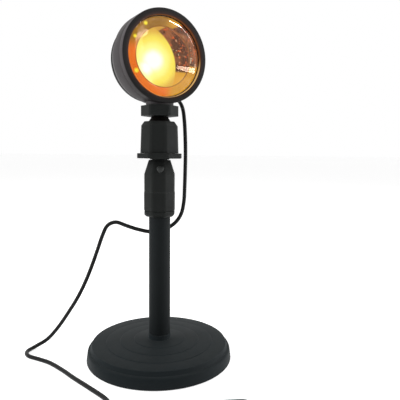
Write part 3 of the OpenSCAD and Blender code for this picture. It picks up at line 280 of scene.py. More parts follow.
for stretch in ("exit", "side", "drop", "fall"):
    declare_lead("lead_" + stretch, "object", "hanging", "cord_" + stretch)
declare_lead("lead_link", "object", "loose", "cord_link")


# ---------------- shared effects

def fill(tree, sockets, values):
    """Each socket gets its plain value or the output of another node."""
    for socket, value in zip(sockets, values):
        if isinstance(value, bpy.types.NodeSocket):
            tree.links.new(value, socket)
        else:
            socket.default_value = value


def wire(tree, node, values):
    """Fills the node's inputs by name, _ for a space."""
    fill(tree, [node.inputs[label.replace("_", " ")] for label in values], values.values())
    return node


def add_node(tree, kind, **values):
    return wire(tree, tree.nodes.new("ShaderNode" + kind), values)


def socketed_group(name, outputs, **inputs):
    """New shader group with float outputs, and float inputs with _ for a space."""
    group = bpy.data.node_groups.new(name, "ShaderNodeTree")
    for label, value in inputs.items():
        group.interface.new_socket(label.replace("_", " "), in_out="INPUT",
                                   socket_type="NodeSocketFloat").default_value = value
    for label in outputs:
        group.interface.new_socket(label, in_out="OUTPUT", socket_type="NodeSocketFloat")
    return group, group.nodes.new("NodeGroupInput"), group.nodes.new("NodeGroupOutput")


def math_node(tree, operation, a, b):
    node = tree.nodes.new("ShaderNodeMath")
    node.operation = operation
    fill(tree, node.inputs, (a, b))
    return node.outputs[0]


def product(tree, value, *others):
    for other in others:
        value = math_node(tree, "MULTIPLY", value, other)
    return value


def distance(tree, across, upward):
    squares = [math_node(tree, "POWER", part, 2.0) for part in (across, upward)]
    return math_node(tree, "SQRT", math_node(tree, "ADD", *squares), 0.0)


def object_place(tree):
    return add_node(tree, "TexCoord").outputs["Object"]


def noise_node(tree, vector, scale, detail, roughness):
    return add_node(tree, "TexNoise", Vector=vector, Scale=scale, Detail=detail,
                    Roughness=roughness).outputs["Fac"]


def moulded_grain_group():
    """Fine grain of a moulded or painted skin, with broad faint clouding."""
    tree, given, out = socketed_group("moulded_grain", ("Height", "Cloud"),
                                      Grain_per_metre=1400.0, Clouding_per_metre=60.0)
    place = object_place(tree)
    wire(tree, out, {"Height": noise_node(tree, place, given.outputs[0], 3.0, 0.65),
                     "Cloud": noise_node(tree, place, given.outputs[1], 4.0, 0.55)})
    return tree


def edge_wear_group():
    """Mask that rises on sharp outer edges, broken up by noise."""
    tree, given, out = socketed_group("edge_wear", ("Mask",), Width=0.0006, Amount=1.0)
    rounded = add_node(tree, "Bevel", Radius=given.outputs["Width"])
    rounded.samples = 4
    alike = tree.nodes.new("ShaderNodeVectorMath")
    alike.operation = "DOT_PRODUCT"
    fill(tree, alike.inputs, (rounded.outputs[0],
                              add_node(tree, "NewGeometry").outputs["Normal"]))
    turned_away = math_node(tree, "SUBTRACT", 1.0, alike.outputs["Value"])
    broken = noise_node(tree, object_place(tree), 420.0, 3.0, 0.6)
    mask = product(tree, turned_away, 5.0, broken, given.outputs["Amount"])
    wire(tree, out, {"Mask": math_node(tree, "MINIMUM", mask, 1.0)})
    return tree


def settled_dust_group():
    """Mask of thin dust on faces that look up."""
    tree, given, out = socketed_group("settled_dust", ("Mask",), Amount=0.3)
    facing = add_node(tree, "SeparateXYZ",
                      Vector=add_node(tree, "NewGeometry").outputs["Normal"])
    patchy = noise_node(tree, object_place(tree), 140.0, 6.0, 0.7)
    upward = math_node(tree, "MAXIMUM", facing.outputs["Z"], 0.0)
    upward = math_node(tree, "POWER", upward, 3.0)
    wire(tree, out, {"Mask": product(tree, upward, patchy, given.outputs["Amount"])})
    return tree


def head_coords_group():
    """Place on the head's own axes in millimetres, X right and Y up as the lens is faced,
    and the distance from the optical axis."""
    tree, _, out = socketed_group("head_coords", ("X", "Y", "Reach"))
    local = add_node(tree, "Mapping", Vector=object_place(tree), Scale=(MM, MM, MM),
                     Location=(0, 0, HEAD_Z * MM), Rotation=(pi / 2, 0, HEAD_YAW))
    local.vector_type = "TEXTURE"
    x, y, _ = add_node(tree, "SeparateXYZ", Vector=local.outputs[0]).outputs
    wire(tree, out, {"X": x, "Y": y, "Reach": distance(tree, x, y)})
    return tree


MOULDED_GRAIN = moulded_grain_group()
EDGE_WEAR = edge_wear_group()
SETTLED_DUST = settled_dust_group()
HEAD_COORDS = head_coords_group()


# ---------------- materials

def linear(srgb):
    """Linear colour of an sRGB colour given as 0 to 255."""
    parts = [c / 255 for c in srgb]
    return tuple(p / 12.92 if p <= 0.04045 else ((p + 0.055) / 1.055) ** 2.4
                 for p in parts) + (1.0,)


def shade(srgb, share):
    return tuple(c * share for c in srgb)


class Finish:
    """A material under construction: its tree and its Principled node."""

    def __init__(self, name):
        self.material = bpy.data.materials.new(name)
        self.material.use_nodes = True
        self.tree = self.material.node_tree
        self.tree.nodes.clear()
        self.shader = add_node(self.tree, "BsdfPrincipled")
        add_node(self.tree, "OutputMaterial", Surface=self.shader.outputs[0])

    def skin(self, **values):
        """Fills the shader's inputs by name, _ for a space, and returns the material."""
        wire(self.tree, self.shader, values)
        return self.material

    def effect(self, group, **values):
        node = self.tree.nodes.new("ShaderNodeGroup")
        node.node_tree = group
        return wire(self.tree, node, values).outputs

    def mix(self, mask, a, b):
        """Colour a where the mask is 0 and b where it is 1; a plain one is sRGB, 0 to 255."""
        node = self.tree.nodes.new("ShaderNodeMix")
        node.data_type = "RGBA"
        colours = [linear(c) if isinstance(c, tuple) else c for c in (a, b)]
        fill(self.tree, (node.inputs["Factor"], *node.inputs[6:8]), (mask, *colours))
        return node.outputs[2]

    def span(self, value, low, high):
        """value from 0 to 1 spread between low and high."""
        return add_node(self.tree, "MapRange", Value=value, To_Min=low,
                        To_Max=high).outputs[0]

    def bump(self, height, depth, strength):
        return add_node(self.tree, "Bump", Height=height, Distance=depth,
                        Strength=strength).outputs[0]


def dark_finish(name, base, worn, rough, grain=1400.0, bump_mm=0.02, dust=0.25, level=0.35,
                wear=1.0):
    """Matte or satin dark skin: faint clouding, fine grain, paler edges and a little dust."""
    finish = Finish(name)
    grained = finish.effect(MOULDED_GRAIN, Grain_per_metre=grain)
    tone = finish.mix(grained["Cloud"], shade(base, 0.86), shade(base, 1.14))
    tone = finish.mix(finish.effect(EDGE_WEAR, Amount=wear)["Mask"], tone, worn)
    tone = finish.mix(finish.effect(SETTLED_DUST, Amount=dust)["Mask"], tone,
                      (120, 118, 112))
    finish.skin(Base_Color=tone, Specular_IOR_Level=level,
                Roughness=finish.span(grained["Cloud"], rough - 0.07, rough + 0.07),
                Normal=finish.bump(grained["Height"], bump_mm * MM, 0.6))
    return finish


def dark_skin(*sizes, **changes):
    return dark_finish(*sizes, **changes).material


def bright_metal(name, base, rough, streak=(1, 1, 1)):
    """Turned or rolled metal with fine tool streaks."""
    finish = Finish(name)
    stretched = add_node(finish.tree, "Mapping", Vector=object_place(finish.tree),
                         Scale=streak)
    streaks = noise_node(finish.tree, stretched.outputs[0], 900.0, 2.0, 0.5)
    cloud = finish.effect(MOULDED_GRAIN, Clouding_per_metre=90.0)["Cloud"]
    return finish.skin(Base_Color=finish.mix(cloud, shade(base, 0.85), base), Metallic=1.0,
                       Roughness=finish.span(streaks, rough - 0.1, rough + 0.12),
                       Normal=finish.bump(streaks, 0.01 * MM, 0.5))


black_paint = dark_skin("black_paint", (24, 29, 31), (62, 68, 70), 0.6, dust=0.05,
                        level=0.08)
black_moulding = dark_skin("black_moulding", (24, 26, 25), (62, 64, 62), 0.56, dust=0.1,
                           level=0.12)
black_anodised = dark_skin("black_anodised", (24, 27, 28), (60, 62, 60), 0.6,
                           grain=2200.0, bump_mm=0.01, level=0.08)
# Lighter than the other mouldings: a painted highlight for the light that the pointer nib's bump
# catches
rubbed_moulding = dark_skin("rubbed_moulding", (46, 48, 47), (84, 86, 84), 0.5, dust=0.2,
                            level=0.2)
rocker_skin = dark_skin("rocker_skin", (32, 34, 35), (70, 72, 72), 0.4, dust=0.1, level=0.2)
drum_paint = dark_skin("drum_paint", (58, 55, 56), (92, 88, 86), 0.5, level=0.14)
# The stud is black; its near-black, darker than the other mouldings, is partly painted shade of
# the neck under the wheel
stud_black = dark_skin("stud_black", (9, 6, 5), (34, 28, 24), 0.4, level=0.06)
lead_rubber = dark_skin("lead_rubber", (15, 16, 16), (34, 35, 34), 0.36, grain=2600.0,
                        wear=0.2, dust=0.05, level=0.16)
pad_foam = dark_skin("pad_foam", (30, 30, 30), (44, 44, 44), 0.9, grain=1800.0,
                     bump_mm=0.12, wear=0.1, level=0.1)
zinc_screw = bright_metal("zinc_screw", (176, 178, 180), 0.35)
plug_steel = bright_metal("plug_steel", (190, 191, 192), 0.28, (1, 1, 20))
raw_brass = bright_metal("raw_brass", (196, 160, 92), 0.34)
raw_aluminium = bright_metal("raw_aluminium", (188, 190, 192), 0.4)


def glass():
    finish = Finish("lens_glass")
    cloud = finish.effect(MOULDED_GRAIN, Grain_per_metre=300.0, Clouding_per_metre=40.0)
    return finish.skin(Base_Color=(1.0, 1.0, 1.0, 1.0), Transmission_Weight=1.0, IOR=1.5,
                       Specular_IOR_Level=0.11, Specular_Tint=(1.0, 0.64, 0.42, 1.0),
                       Roughness=finish.span(cloud["Cloud"], 0.0, 0.03))


# Light seen through the filter, on the head's axes in millimetres
IMAGE_X, IMAGE_Y, IMAGE_R = -10.5, -3.5, 26.6
# White-hot spots: place and how much weaker than the first
HOT_SPOTS = ((2.2, 1.2, 0.0), (-1.5, -3.0, 2.0), (-6.0, -7.5, 5.0))
# Steps outwards from them: where each starts and ends, and its colours
HOT_STEPS = ((4.2, 9.0, (255, 255, 252), (255, 252, 142)),
             (8.5, 13.5, None, (252, 230, 84)), (13.0, 18.5, None, (222, 172, 60)))
# Line above which the brown patch of painted shade ends
PATCH_RISE, PATCH_TOP = 0.55, 15.5
LIP_R = 19.8
# Yellow glints of the light on the lip: place on the head's axes and size
GLINTS = ((-12.9, 20.9, 2.0), (-20.5, 11.6, 1.7), (-19.6, -10.6, 2.2))
# Pale marks where the light grazes the right side of the lip
PALE_MARKS = ((20.2, -1.4, 0.8), (20.9, -0.3, 0.7), (20.3, 1.0, 0.7), (21.6, 1.2, 0.6),
              (24.9, -2.6, 0.7), (25.0, -4.0, 0.8), (24.7, -5.2, 0.7))


class HeadMasks:
    """Masks for one finish, on the head's own axes in millimetres."""

    def __init__(self, finish):
        self.tree = finish.tree
        self.x, self.y, self.reach = finish.effect(HEAD_COORDS)

    def step(self, value, low, high):
        """0 below low and 1 above high, with a soft step between."""
        node = add_node(self.tree, "MapRange", Value=value, From_Min=low, From_Max=high)
        node.interpolation_type = "SMOOTHSTEP"
        return node.outputs[0]

    def reach_from(self, x, y):
        """Distance from the line through x and y along the head's axis."""
        return distance(self.tree, math_node(self.tree, "SUBTRACT", self.x, x),
                        math_node(self.tree, "SUBTRACT", self.y, y))

    def patch(self, foot_y, left_x):
        """The unlit patch: above foot_y, right of left_x and under a rising line."""
        line = math_node(self.tree, "ADD", product(self.tree, self.x, PATCH_RISE), PATCH_TOP)
        below = math_node(self.tree, "SUBTRACT", line, self.y)
        return product(self.tree, self.step(self.y, foot_y - 0.8, foot_y + 0.8),
                       self.step(self.x, left_x - 1.0, left_x + 1.0),
                       self.step(below, -0.6, 0.6))


def painted_shade_brown(finish, head, place):
    """Brown of painted shade on the unlit parts inside: dark blotches, orange flecks and a few
    pale specks.
    """
    brown = (64, 24, 10)
    for scale, detail, roughness, low, high, colour in (
            (130.0, 3.0, 0.6, 0.42, 0.58, (144, 80, 42)),
            (520.0, 2.0, 0.5, 0.58, 0.66, (204, 80, 18)),
            (900.0, 1.0, 0.5, 0.7, 0.76, (236, 204, 160))):
        spots = noise_node(finish.tree, place, scale, detail, roughness)
        brown = finish.mix(head.step(spots, low, high), brown, colour)
    return brown


def painted_glow_skin(finish, tone, level):
    """Painted glow: the piece gives off tone itself, over a dark skin that mirrors a little."""
    return finish.skin(Emission_Color=tone, Emission_Strength=1.0, Roughness=0.4,
                       Base_Color=linear((30, 18, 10)), Specular_IOR_Level=level)


def painted_glow_filter():
    """Colour filter in painted glow standing in for the light from behind: the light's round
    image with white-hot spots, gold round it, and an unlit brown patch of painted shade at the
    upper right."""
    finish = Finish("painted_glow_filter")
    tree, head, place = finish.tree, HeadMasks(finish), object_place(finish.tree)
    nearest = 99.0
    for x, y, weaker in HOT_SPOTS:
        reach = math_node(tree, "ADD", head.reach_from(x, y), weaker)
        nearest = math_node(tree, "MINIMUM", nearest, reach)
    ripple = noise_node(tree, place, 160.0, 4.0, 0.6)
    hot = math_node(tree, "ADD", nearest, product(tree, ripple, 2.0))
    image = None
    for low, high, inner, outer in HOT_STEPS:
        image = finish.mix(head.step(hot, low, high), image or inner, outer)
    gold = finish.mix(head.step(head.y, -14.0, 12.0), (222, 158, 26), (206, 150, 54))
    round_it = finish.mix(head.patch(-4.0, 3.0), gold, painted_shade_brown(finish, head, place))
    rim = head.step(head.reach_from(IMAGE_X, IMAGE_Y), IMAGE_R - 0.5, IMAGE_R + 0.2)
    return painted_glow_skin(finish, finish.mix(rim, image, round_it), 0.1)


def painted_glow_well():
    """Light well and its lip in painted glow: orange at the lower left, olive gold at the upper
    left, amber at the lower right, brown painted shade at the upper right."""
    finish = Finish("painted_glow_well")
    head, place = HeadMasks(finish), object_place(finish.tree)
    ripple = noise_node(finish.tree, place, 220.0, 4.0, 0.65)
    amber = finish.mix(ripple, (176, 108, 8), (230, 170, 40))
    orange = finish.mix(ripple, (216, 80, 0), (246, 128, 12))
    olive = finish.mix(ripple, (96, 58, 0), (184, 130, 14))
    right = finish.mix(head.patch(-4.2, 2.0), amber, painted_shade_brown(finish, head, place))
    left = finish.mix(head.step(head.y, 2.0, 12.0), orange, olive)
    tone = finish.mix(head.step(head.x, 0.0, 9.0), left, right)
    # Painted glints and pale highlights of the light on the lip
    for marks, core, colour in ((GLINTS, 0.3, (250, 228, 40)),
                                (PALE_MARKS, 0.5, (226, 196, 160))):
        for x, y, size in marks:
            spot = head.step(head.reach_from(x, y), size, core * size)
            tone = finish.mix(spot, tone, colour)
    # The painted glow turns darker brown inward of the lip's edge
    tone = finish.mix(head.step(head.reach, LIP_R + 0.7, LIP_R + 0.15), tone, (120, 62, 10))
    return painted_glow_skin(finish, tone, 0.06)


def bezel_finish():
    """Paint on the bezel, with a painted warm glow where the lens shines on it, a painted bright
    line of light round the lower right of the aperture, and painted shade darkening it towards
    the bottom."""
    finish = dark_finish("bezel_paint_and_painted_light", (31, 29, 29), (84, 80, 78), 0.5, level=0.14)
    tree, head = finish.tree, HeadMasks(finish)
    face = finish.shader.inputs["Base Color"].links[0].from_socket
    # Painted shade: the face and the outer wall turn darker towards the bottom
    painted_shade_below = head.step(head.y, -4.0, -26.0)
    face = finish.mix(painted_shade_below, face, (16, 14, 13))
    wall = finish.mix(painted_shade_below, (66, 62, 64), (34, 31, 31))
    aslant = math_node(tree, "SUBTRACT", product(tree, head.x, 0.6), head.y)
    # Painted warm glow of the lens on the face, and a painted bright line of light round the
    # aperture
    glow = finish.mix(head.step(head.reach, 31.0, 28.2), (0, 0, 0), (44, 18, 4))
    glow = finish.mix(head.step(head.reach, 28.5, 28.4), glow, (104, 56, 22))
    rim = product(tree, head.step(head.reach, 28.65, 28.5), head.step(aslant, 14.0, 27.0))
    return finish.skin(Emission_Color=finish.mix(rim, glow, (214, 170, 104)),
                       Base_Color=finish.mix(head.step(head.reach, 32.5, 32.85), face, wall),
                       Emission_Strength=1.0)


lens_glass = glass()
filter_with_painted_glow = painted_glow_filter()
well_with_painted_glow = painted_glow_well()
bezel_paint_and_painted_light = bezel_finish()


def paint(piece, material):
    piece.data.materials.clear()
    piece.data.materials.append(material)


def dress(material, *names):
    for name in names:
        paint(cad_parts[name], material)


dress(black_paint, "base_plate")
dress(pad_foam, "foot_pad")
dress(zinc_screw, "base_weight", "plate_screws", "mast_screw", "mast_washer", "hub_screw",
      "cover_screws", "switch_spring")
dress(black_anodised, "inner_tube")
dress(black_moulding, "foot_plug", "collet", "tube_bush", "mast_plug", "ball_seat", "coil_tie",
      "lens_seal", "plug_tongue")
dress(raw_brass, "stud_insert")
dress(raw_aluminium, "heat_sink", "reflector", "led_board", "led_emitter")
dress(filter_with_painted_glow, "colour_filter")
dress(well_with_painted_glow, "filter_ring")
dress(plug_steel, "plug_shell")
dress(lead_rubber, "led_wires")
for piece, _, _ in lead.values():
    paint(piece, lead_rubber)


# ---------------- modelling

# Doubles closer than this are merged, in millimetres: where a piece is closed, and on flats
MERGE, MERGE_FLATS = 0.0005, 0.002
ON_HEAD = (Matrix.Translation((0, 0, HEAD_Z * MM)) @ Matrix.Rotation(HEAD_YAW, 4, "Z")
           @ Matrix.Rotation(pi / 2, 4, "X"))


def spun(name, outline, sides=128, ring=False):
    """Piece drawn out ring by ring from its outline of (radius, height) in millimetres.
    With ring the outline closes on itself; without it both ends are filled."""
    start_fresh()
    radius, height = outline[0]
    bpy.ops.mesh.primitive_circle_add(vertices=sides, radius=radius, location=(0, 0, height))
    piece = bpy.context.active_object
    piece.name = name
    apply_place()
    edit_all()
    for new_radius, new_height in outline[1:] + ([outline[0]] if ring else []):
        bpy.ops.mesh.extrude_edges_move(
            TRANSFORM_OT_translate={"value": (0, 0, new_height - height)})
        share = new_radius / radius
        bpy.ops.transform.resize(value=(share, share, 1), center_override=(0, 0, new_height))
        radius, height = new_radius, new_height
    close_up(not ring)
    return piece


def close_up(capped=True):
    """In edit mode: doubles merged, holes filled, faces pointing outwards; then object mode."""
    pick_all()
    bpy.ops.mesh.remove_doubles(threshold=MERGE)
    if capped:
        bpy.ops.mesh.select_mode(type="EDGE")
        bpy.ops.mesh.select_all(action="DESELECT")
        bpy.ops.mesh.select_non_manifold(extend=False, use_wire=False, use_boundary=True,
                                         use_multi_face=False, use_non_contiguous=False,
                                         use_verts=False)
        bpy.ops.mesh.fill_holes(sides=0)
        bpy.ops.mesh.select_mode(type="VERT")
    pick_all()
    bpy.ops.mesh.normals_make_consistent(inside=False)
    leave_edit()


def mill_flats(piece, count, first, low, high):
    """Cuts count flats, the first facing the angle first in degrees. low and high are
    (distance from the axis, height) of each flat's foot and top, in millimetres."""
    take(piece)
    bpy.ops.object.mode_set(mode="EDIT")
    lean = atan2(low[0] - high[0], high[1] - low[1])
    for k in range(count):
        angle = radians(first + 360 / count * k)
        out = Vector((cos(angle), sin(angle), 0))
        pick_all()
        bpy.ops.mesh.bisect(plane_co=out * low[0] + Vector((0, 0, low[1])),
                            plane_no=out * cos(lean) + Vector((0, 0, sin(lean))),
                            use_fill=True, clear_outer=True)
    pick_all()
    bpy.ops.mesh.remove_doubles(threshold=MERGE_FLATS)
    leave_edit()


def modify(piece, kind, **settings):
    """Adds a modifier with its settings and applies it."""
    take(piece)
    bpy.ops.object.modifier_add(type=kind)
    modifier = piece.modifiers[-1]
    for label, value in settings.items():
        setattr(modifier, label, value)
    bpy.ops.object.modifier_apply(modifier=modifier.name)


def soften(piece, width, segments=2, angle=26):
    """Rounds the piece's sharp edges, width in millimetres."""
    modify(piece, "BEVEL", width=width, segments=segments, limit_method="ANGLE",
           angle_limit=radians(angle))


def block(name, size, middle):
    """Block of a size, round its middle, in millimetres."""
    start_fresh()
    bpy.ops.mesh.primitive_cube_add(size=1, location=middle, scale=size)
    piece = bpy.context.active_object
    piece.name = name
    apply_place()
    return piece


def turn_by(piece, turn):
    take(piece)
    piece.matrix_world = turn @ piece.matrix_world
    apply_place()


def move_by(piece, shift):
    turn_by(piece, Matrix.Translation(shift))


def round_edges(piece, chosen, width, segments):
    """Rounds the edges that chosen() picks by the places of their two ends."""
    take(piece)
    corners = piece.data.vertices
    for part in (*corners, *piece.data.polygons):
        part.select = False
    for edge in piece.data.edges:
        a, b = edge.vertices
        edge.select = chosen(corners[a].co, corners[b].co)
    bpy.context.tool_settings.mesh_select_mode = (False, True, False)
    bpy.ops.object.mode_set(mode="EDIT")
    bpy.ops.mesh.bevel(offset=width, segments=segments, affect="EDGES")
    bpy.ops.mesh.select_mode(type="VERT")
    leave_edit()


def carve(piece, cutter):
    """Cuts the cutter's shape out of the piece."""
    modify(piece, "BOOLEAN", operation="DIFFERENCE", solver="EXACT", object=cutter)
    bpy.data.objects.remove(cutter)


def trim(piece, place, outward):
    """Cuts off what lies on the outward side of a plane."""
    take(piece)
    edit_all()
    bpy.ops.mesh.bisect(plane_co=place, plane_no=outward, use_fill=True, clear_outer=True)
    leave_edit()


def spread_round(piece, count, first):
    """The piece and its copies spread round the axis, from the angle first in degrees."""
    parts = [piece]
    for _ in range(1, count):
        copy = piece.copy()
        copy.data = piece.data.copy()
        link(copy)
        parts.append(copy)
    for k, part in enumerate(parts):
        part.matrix_world = Matrix.Rotation(radians(first + 360 / count * k), 4, "Z")
    join_into(*parts)
    turn_by(piece, Matrix())
    return piece


def join_into(piece, *others):
    take(piece)
    for other in others:
        other.select_set(True)
    bpy.ops.object.join()


def settle(piece, body, *nodes, material=black_moulding, slot="black_plastic",
           place=Matrix(), smooth=34):
    """Scales the piece from millimetres, puts it in its place in the lamp, and lets it
    ride on its body in place of the nodes."""
    take(piece)
    piece.matrix_world = place @ Matrix.Scale(MM, 4)
    apply_place()
    bpy.ops.object.shade_smooth_by_angle(angle=radians(smooth))
    paint(piece, material)
    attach(piece, body)
    if nodes:
        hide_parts(*nodes)
    return piece


# ---------------- base

def base_cover():
    """Hollow stepped cover: skirt, rounded shoulder, step, flat rings and the mast's boss."""
    skirt_r, skirt_top, shoulder, step_r, top_r, top_z = 55.0, 7.0, 1.9, 52.3, 51.1, 12.3
    outline = [(9.2, 2.8), (9.2, 10.1), (50.0, 10.1), (50.0, 2.8), (51.7, 2.8), (51.7, 0.5),
               (54.6, 0.5), (54.9, 0.65), (skirt_r, 1.0)]
    outline += [(step_r + shoulder * cos(radians(t)),
                 skirt_top + shoulder * sin(radians(t))) for t in range(0, 91, 15)]
    outline += [(step_r - 0.15, skirt_top + shoulder + 0.15),
                (top_r + 0.1, top_z - 0.55), (top_r - 0.08, top_z - 0.2),
                (top_r - 0.45, top_z)]
    for k in range(3):
        r, z = top_r - 0.5 - 10.5 * k, top_z + 0.75 * k
        outline += [(r - 10.0 + 0.35, z + 0.25), (r - 10.0, z + 0.3),
                    (r - 10.32, z + 0.62), (r - 10.6, z + 0.74)]
    crown = top_z + 2.5
    outline += [(9.0, crown), (8.6, crown + 0.18), (8.4, crown + 0.7), (8.4, 18.2),
                (8.28, 18.5), (8.0, 18.6), (6.2, 18.6), (6.2, 24.6), (2.75, 24.6),
                (2.75, 2.8)]
    cover = spun("base_cover", outline, sides=192, ring=True)
    settle(cover, "base", "base_shell", material=black_paint, slot="cast_weight")


base_cover()


# ---------------- mast and twist lock

FLATS_TURN = -4.5
NIB_ASIDE, NIB_UP, NIB_SUNK = 1.2, 4.0, 1.5
OCTAGON = cos(radians(22.5))
CORNER_SHARE = 0.975


def octagon(*widths):
    """Radii to turn an octagon of each width from, and its flats' distances from the axis."""
    return [w / 2 * CORNER_SHARE for w in widths], [w / 2 * OCTAGON for w in widths]


def mill_octagon(piece, low, high):
    mill_flats(piece, 8, FLATS_TURN, low, high)


def mast_tube():
    tube = spun("mast_tube", [
        (6.3, 18.7), (8.0, 18.7), (8.2, 18.95), (7.98, 108.7), (7.65, 109.0), (7.65, 125.9),
        (7.4, 126.1), (6.3, 126.1)], ring=True)
    settle(tube, "base", "outer_tube", material=black_anodised, slot="black_steel")


def twist_ring():
    foot, band, top = 109.1, 110.6, 113.4
    r, a = octagon(20.7, 24.0)
    ring = spun("twist_ring", [
        (7.7, foot), (r[0], foot), (r[1], band), (r[1], top), (7.7, top)], ring=True)
    mill_octagon(ring, (a[1], foot), (a[1], top))
    mill_octagon(ring, (a[0], foot), (a[1], band))
    soften(ring, 0.3)
    neck = spun("twist_neck", [(7.7, top - 0.2)] + [
        (9.6 + (0.25 if k % 2 else 0), top - 0.2 + 1.2 * (k // 2) + 0.6 * (k % 2))
        for k in range(20)] + [(9.6, 125.8), (7.7, 125.8)], sides=64, ring=True)
    join_into(ring, neck)
    settle(ring, "base", "lock_ring")


def twist_sleeve():
    foot, grip_top, taper_foot, cone_top, top = 113.8, 126.8, 140.7, 145.0, 151.1
    r, a = octagon(24.4, 24.0, 17.0)
    sleeve = spun("twist_sleeve", [
        (9.95, foot), (r[0], foot), (r[0], grip_top), (r[1], grip_top + 1),
        (9.95, grip_top + 1)], ring=True)
    mill_octagon(sleeve, (a[0], foot), (a[0], grip_top + 1))
    mill_octagon(sleeve, (a[0], grip_top), (a[1], grip_top + 1))
    soften(sleeve, 0.3, angle=12)
    shoulder = spun("sleeve_shoulder", [
        (9.9, grip_top + 0.5), (r[1], grip_top + 0.5), (r[1], taper_foot), (r[2], top),
        (6.0, top), (6.0, cone_top), (7.6, cone_top)], ring=True)
    mill_octagon(shoulder, (a[1], foot), (a[1], top))
    mill_octagon(shoulder, (a[1], taper_foot), (a[2], top))
    soften(shoulder, 0.35, angle=15)
    join_into(sleeve, shoulder)
    settle(sleeve, "sleeve", "lock_sleeve")
    nib = pointer_nib(a[1], taper_foot, a[2], top)
    # The nib's lighter skin is a painted highlight
    settle(nib, "sleeve", material=rubbed_moulding, smooth=60)


def pointer_nib(foot_y, foot_z, top_y, top_z):
    """Small raised pointer with its tip down, on the front flat of the taper."""
    start_fresh()
    bpy.ops.mesh.primitive_circle_add(vertices=3, radius=4.9, fill_type="NGON",
                                      rotation=(0, 0, pi))
    nib = bpy.context.active_object
    nib.name = "pointer_nib"
    apply_place()
    edit_all()
    bpy.ops.mesh.bevel(offset=3.9, segments=10, affect="VERTICES")
    pick_all()
    height = 0
    for rise, share in ((1.7, 0.94), (0.4, 0.94), (0.35, 0.88), (0.3, 0.8), (0.2, 0.7),
                        (0.1, 0.5)):
        height += rise
        bpy.ops.mesh.extrude_region_move(TRANSFORM_OT_translate={"value": (0, 0, rise)})
        bpy.ops.transform.resize(value=(share, share, 1), center_override=(0, 0, height))
    close_up()
    lean = atan2(foot_y - top_y, top_z - foot_z)
    turn_by(nib, Matrix.Rotation(radians(FLATS_TURN), 4, "Z")
            @ Matrix.Translation((NIB_ASIDE, -foot_y, foot_z))
            @ Matrix.Rotation(pi / 2 - lean, 4, "X")
            @ Matrix.Translation((0, NIB_UP, -NIB_SUNK)))
    return nib


mast_tube()
twist_ring()
twist_sleeve()


# ---------------- ball joint

BALL_Z = 175.65
BALL_R = 8.8


def housing_flange():
    foot, top = 152.25, 155.95
    r, a = octagon(34.8)
    flange = spun("housing_flange", [
        (7.5, foot), (r[0], foot), (r[0], top), (11.0, top), (11.0, 174.4), (9.35, 174.4),
        (9.35, 158.2), (7.5, 158.2)], ring=True)
    mill_octagon(flange, (a[0], foot), (a[0], top))
    soften(flange, 0.35)
    settle(flange, "housing", "ball_housing")


def clamp_nut():
    foot, edge, top = 156.05, 176.05, 179.05
    r, a = octagon(29.8, 28.3, 23.62)
    nut = spun("clamp_nut", [
        (11.4, foot), (r[0], foot), (r[1], edge), (r[2], top), (8.45, top), (8.9, 177.5),
        (9.1, BALL_Z), (9.1, 174.8), (11.4, 174.8)], ring=True)
    mill_octagon(nut, (a[0], foot), (a[1], edge))
    mill_octagon(nut, (a[1], edge), (a[2], top))
    soften(nut, 0.45, segments=3, angle=15)
    settle(nut, "nut", "cap_nut")


def ball_and_stud():
    """Ball, neck and stud in one."""
    def ball_r(z):
        return sqrt(max(0, BALL_R ** 2 - (z - BALL_Z) ** 2))
    outline = [(ball_r(168.1), 168.1)]
    outline += [(ball_r(z), z) for z in [169, 170, 171.2, 172.5, 174, 175.6, 177, 178.2,
                                         179.2, 180.1, 180.9, 181.4]]
    outline += [(6.45, 181.75), (6.4, 182.2), (6.2, 182.6), (5.8, 182.75),
                (3.1, 182.75), (3.1, 189.0)]
    stud = spun("ball_neck", outline, sides=96)
    settle(stud, "stud", "ball_stud", material=stud_black)


def stud_wheel():
    width, foot, top = 28.4, 183.05, 190.45
    wheel = spun("stud_wheel", [
        (3.16, foot), (width / 2 - 0.5, foot), (width / 2 - 0.5, top), (3.16, top)], ring=True)
    mill_flats(wheel, 6, 30, (width / 2 * cos(pi / 6), foot),
               (width / 2 * cos(pi / 6), top))
    soften(wheel, 0.9, segments=4)
    settle(wheel, "disc", "lock_disc")


housing_flange()
clamp_nut()
ball_and_stud()
stud_wheel()


# ---------------- head

def head_drum():
    drum = spun("drum", [
        (29.1, -16), (30.1, -16), (30.35, -15.8), (32.75, -7.75), (32.87, -7.4), (32.9, -7.0),
        (32.9, 3.9), (32.65, 4.3), (30.7, 4.3), (30.7, -0.85), (29.1, -0.85)], sides=192,
        ring=True)
    settle(drum, "head", "drum_shell", material=drum_paint, place=ON_HEAD)
    pedestal = spun("drum_pedestal", [
        (3.16, 190.75), (9.7, 190.75), (10.0, 191.05), (10.3, 193.7), (3.16, 193.7)], ring=True)
    settle(pedestal, "head", material=drum_paint)


def front_bezel():
    bezel = spun("bezel", [
        (29.35, -0.25), (30.55, -0.25), (30.55, 4.35), (32.1, 4.35), (32.1, 4.75), (32.6, 4.75),
        (32.9, 5.05), (32.9, 9.6), (32.78, 10.0), (32.45, 10.27), (32.0, 10.35), (29.35, 10.35),
        (29.1, 10.3), (28.4, 9.85), (28.3, 9.7), (28.3, 8.05), (29.35, 8.05)], sides=192,
        ring=True)
    settle(bezel, "head", "front_bezel", material=bezel_paint_and_painted_light, place=ON_HEAD)


def dome_lens():
    """Plano-convex glass: flat back, short edge, and a dome."""
    dome_r, foot_r, foot_a = 60.0, 28.2, 7.95
    centre = foot_a - sqrt(dome_r ** 2 - foot_r ** 2)
    outline = [(29.0, 5.85), (29.2, 6.0), (29.2, 7.8), (29.05, 7.95), (28.3, 7.95)]
    rings = 20
    for k in range(rings):
        slope = asin(foot_r / dome_r) * (1 - k / rings)
        outline.append((dome_r * sin(slope), centre + dome_r * cos(slope)))
    outline.append((0.02, centre + dome_r))
    lens = spun("dome_lens", outline, sides=160)
    settle(lens, "head", "lens", material=lens_glass, slot="amber_glass", place=ON_HEAD,
           smooth=30)


COVER_BACK = -21.2


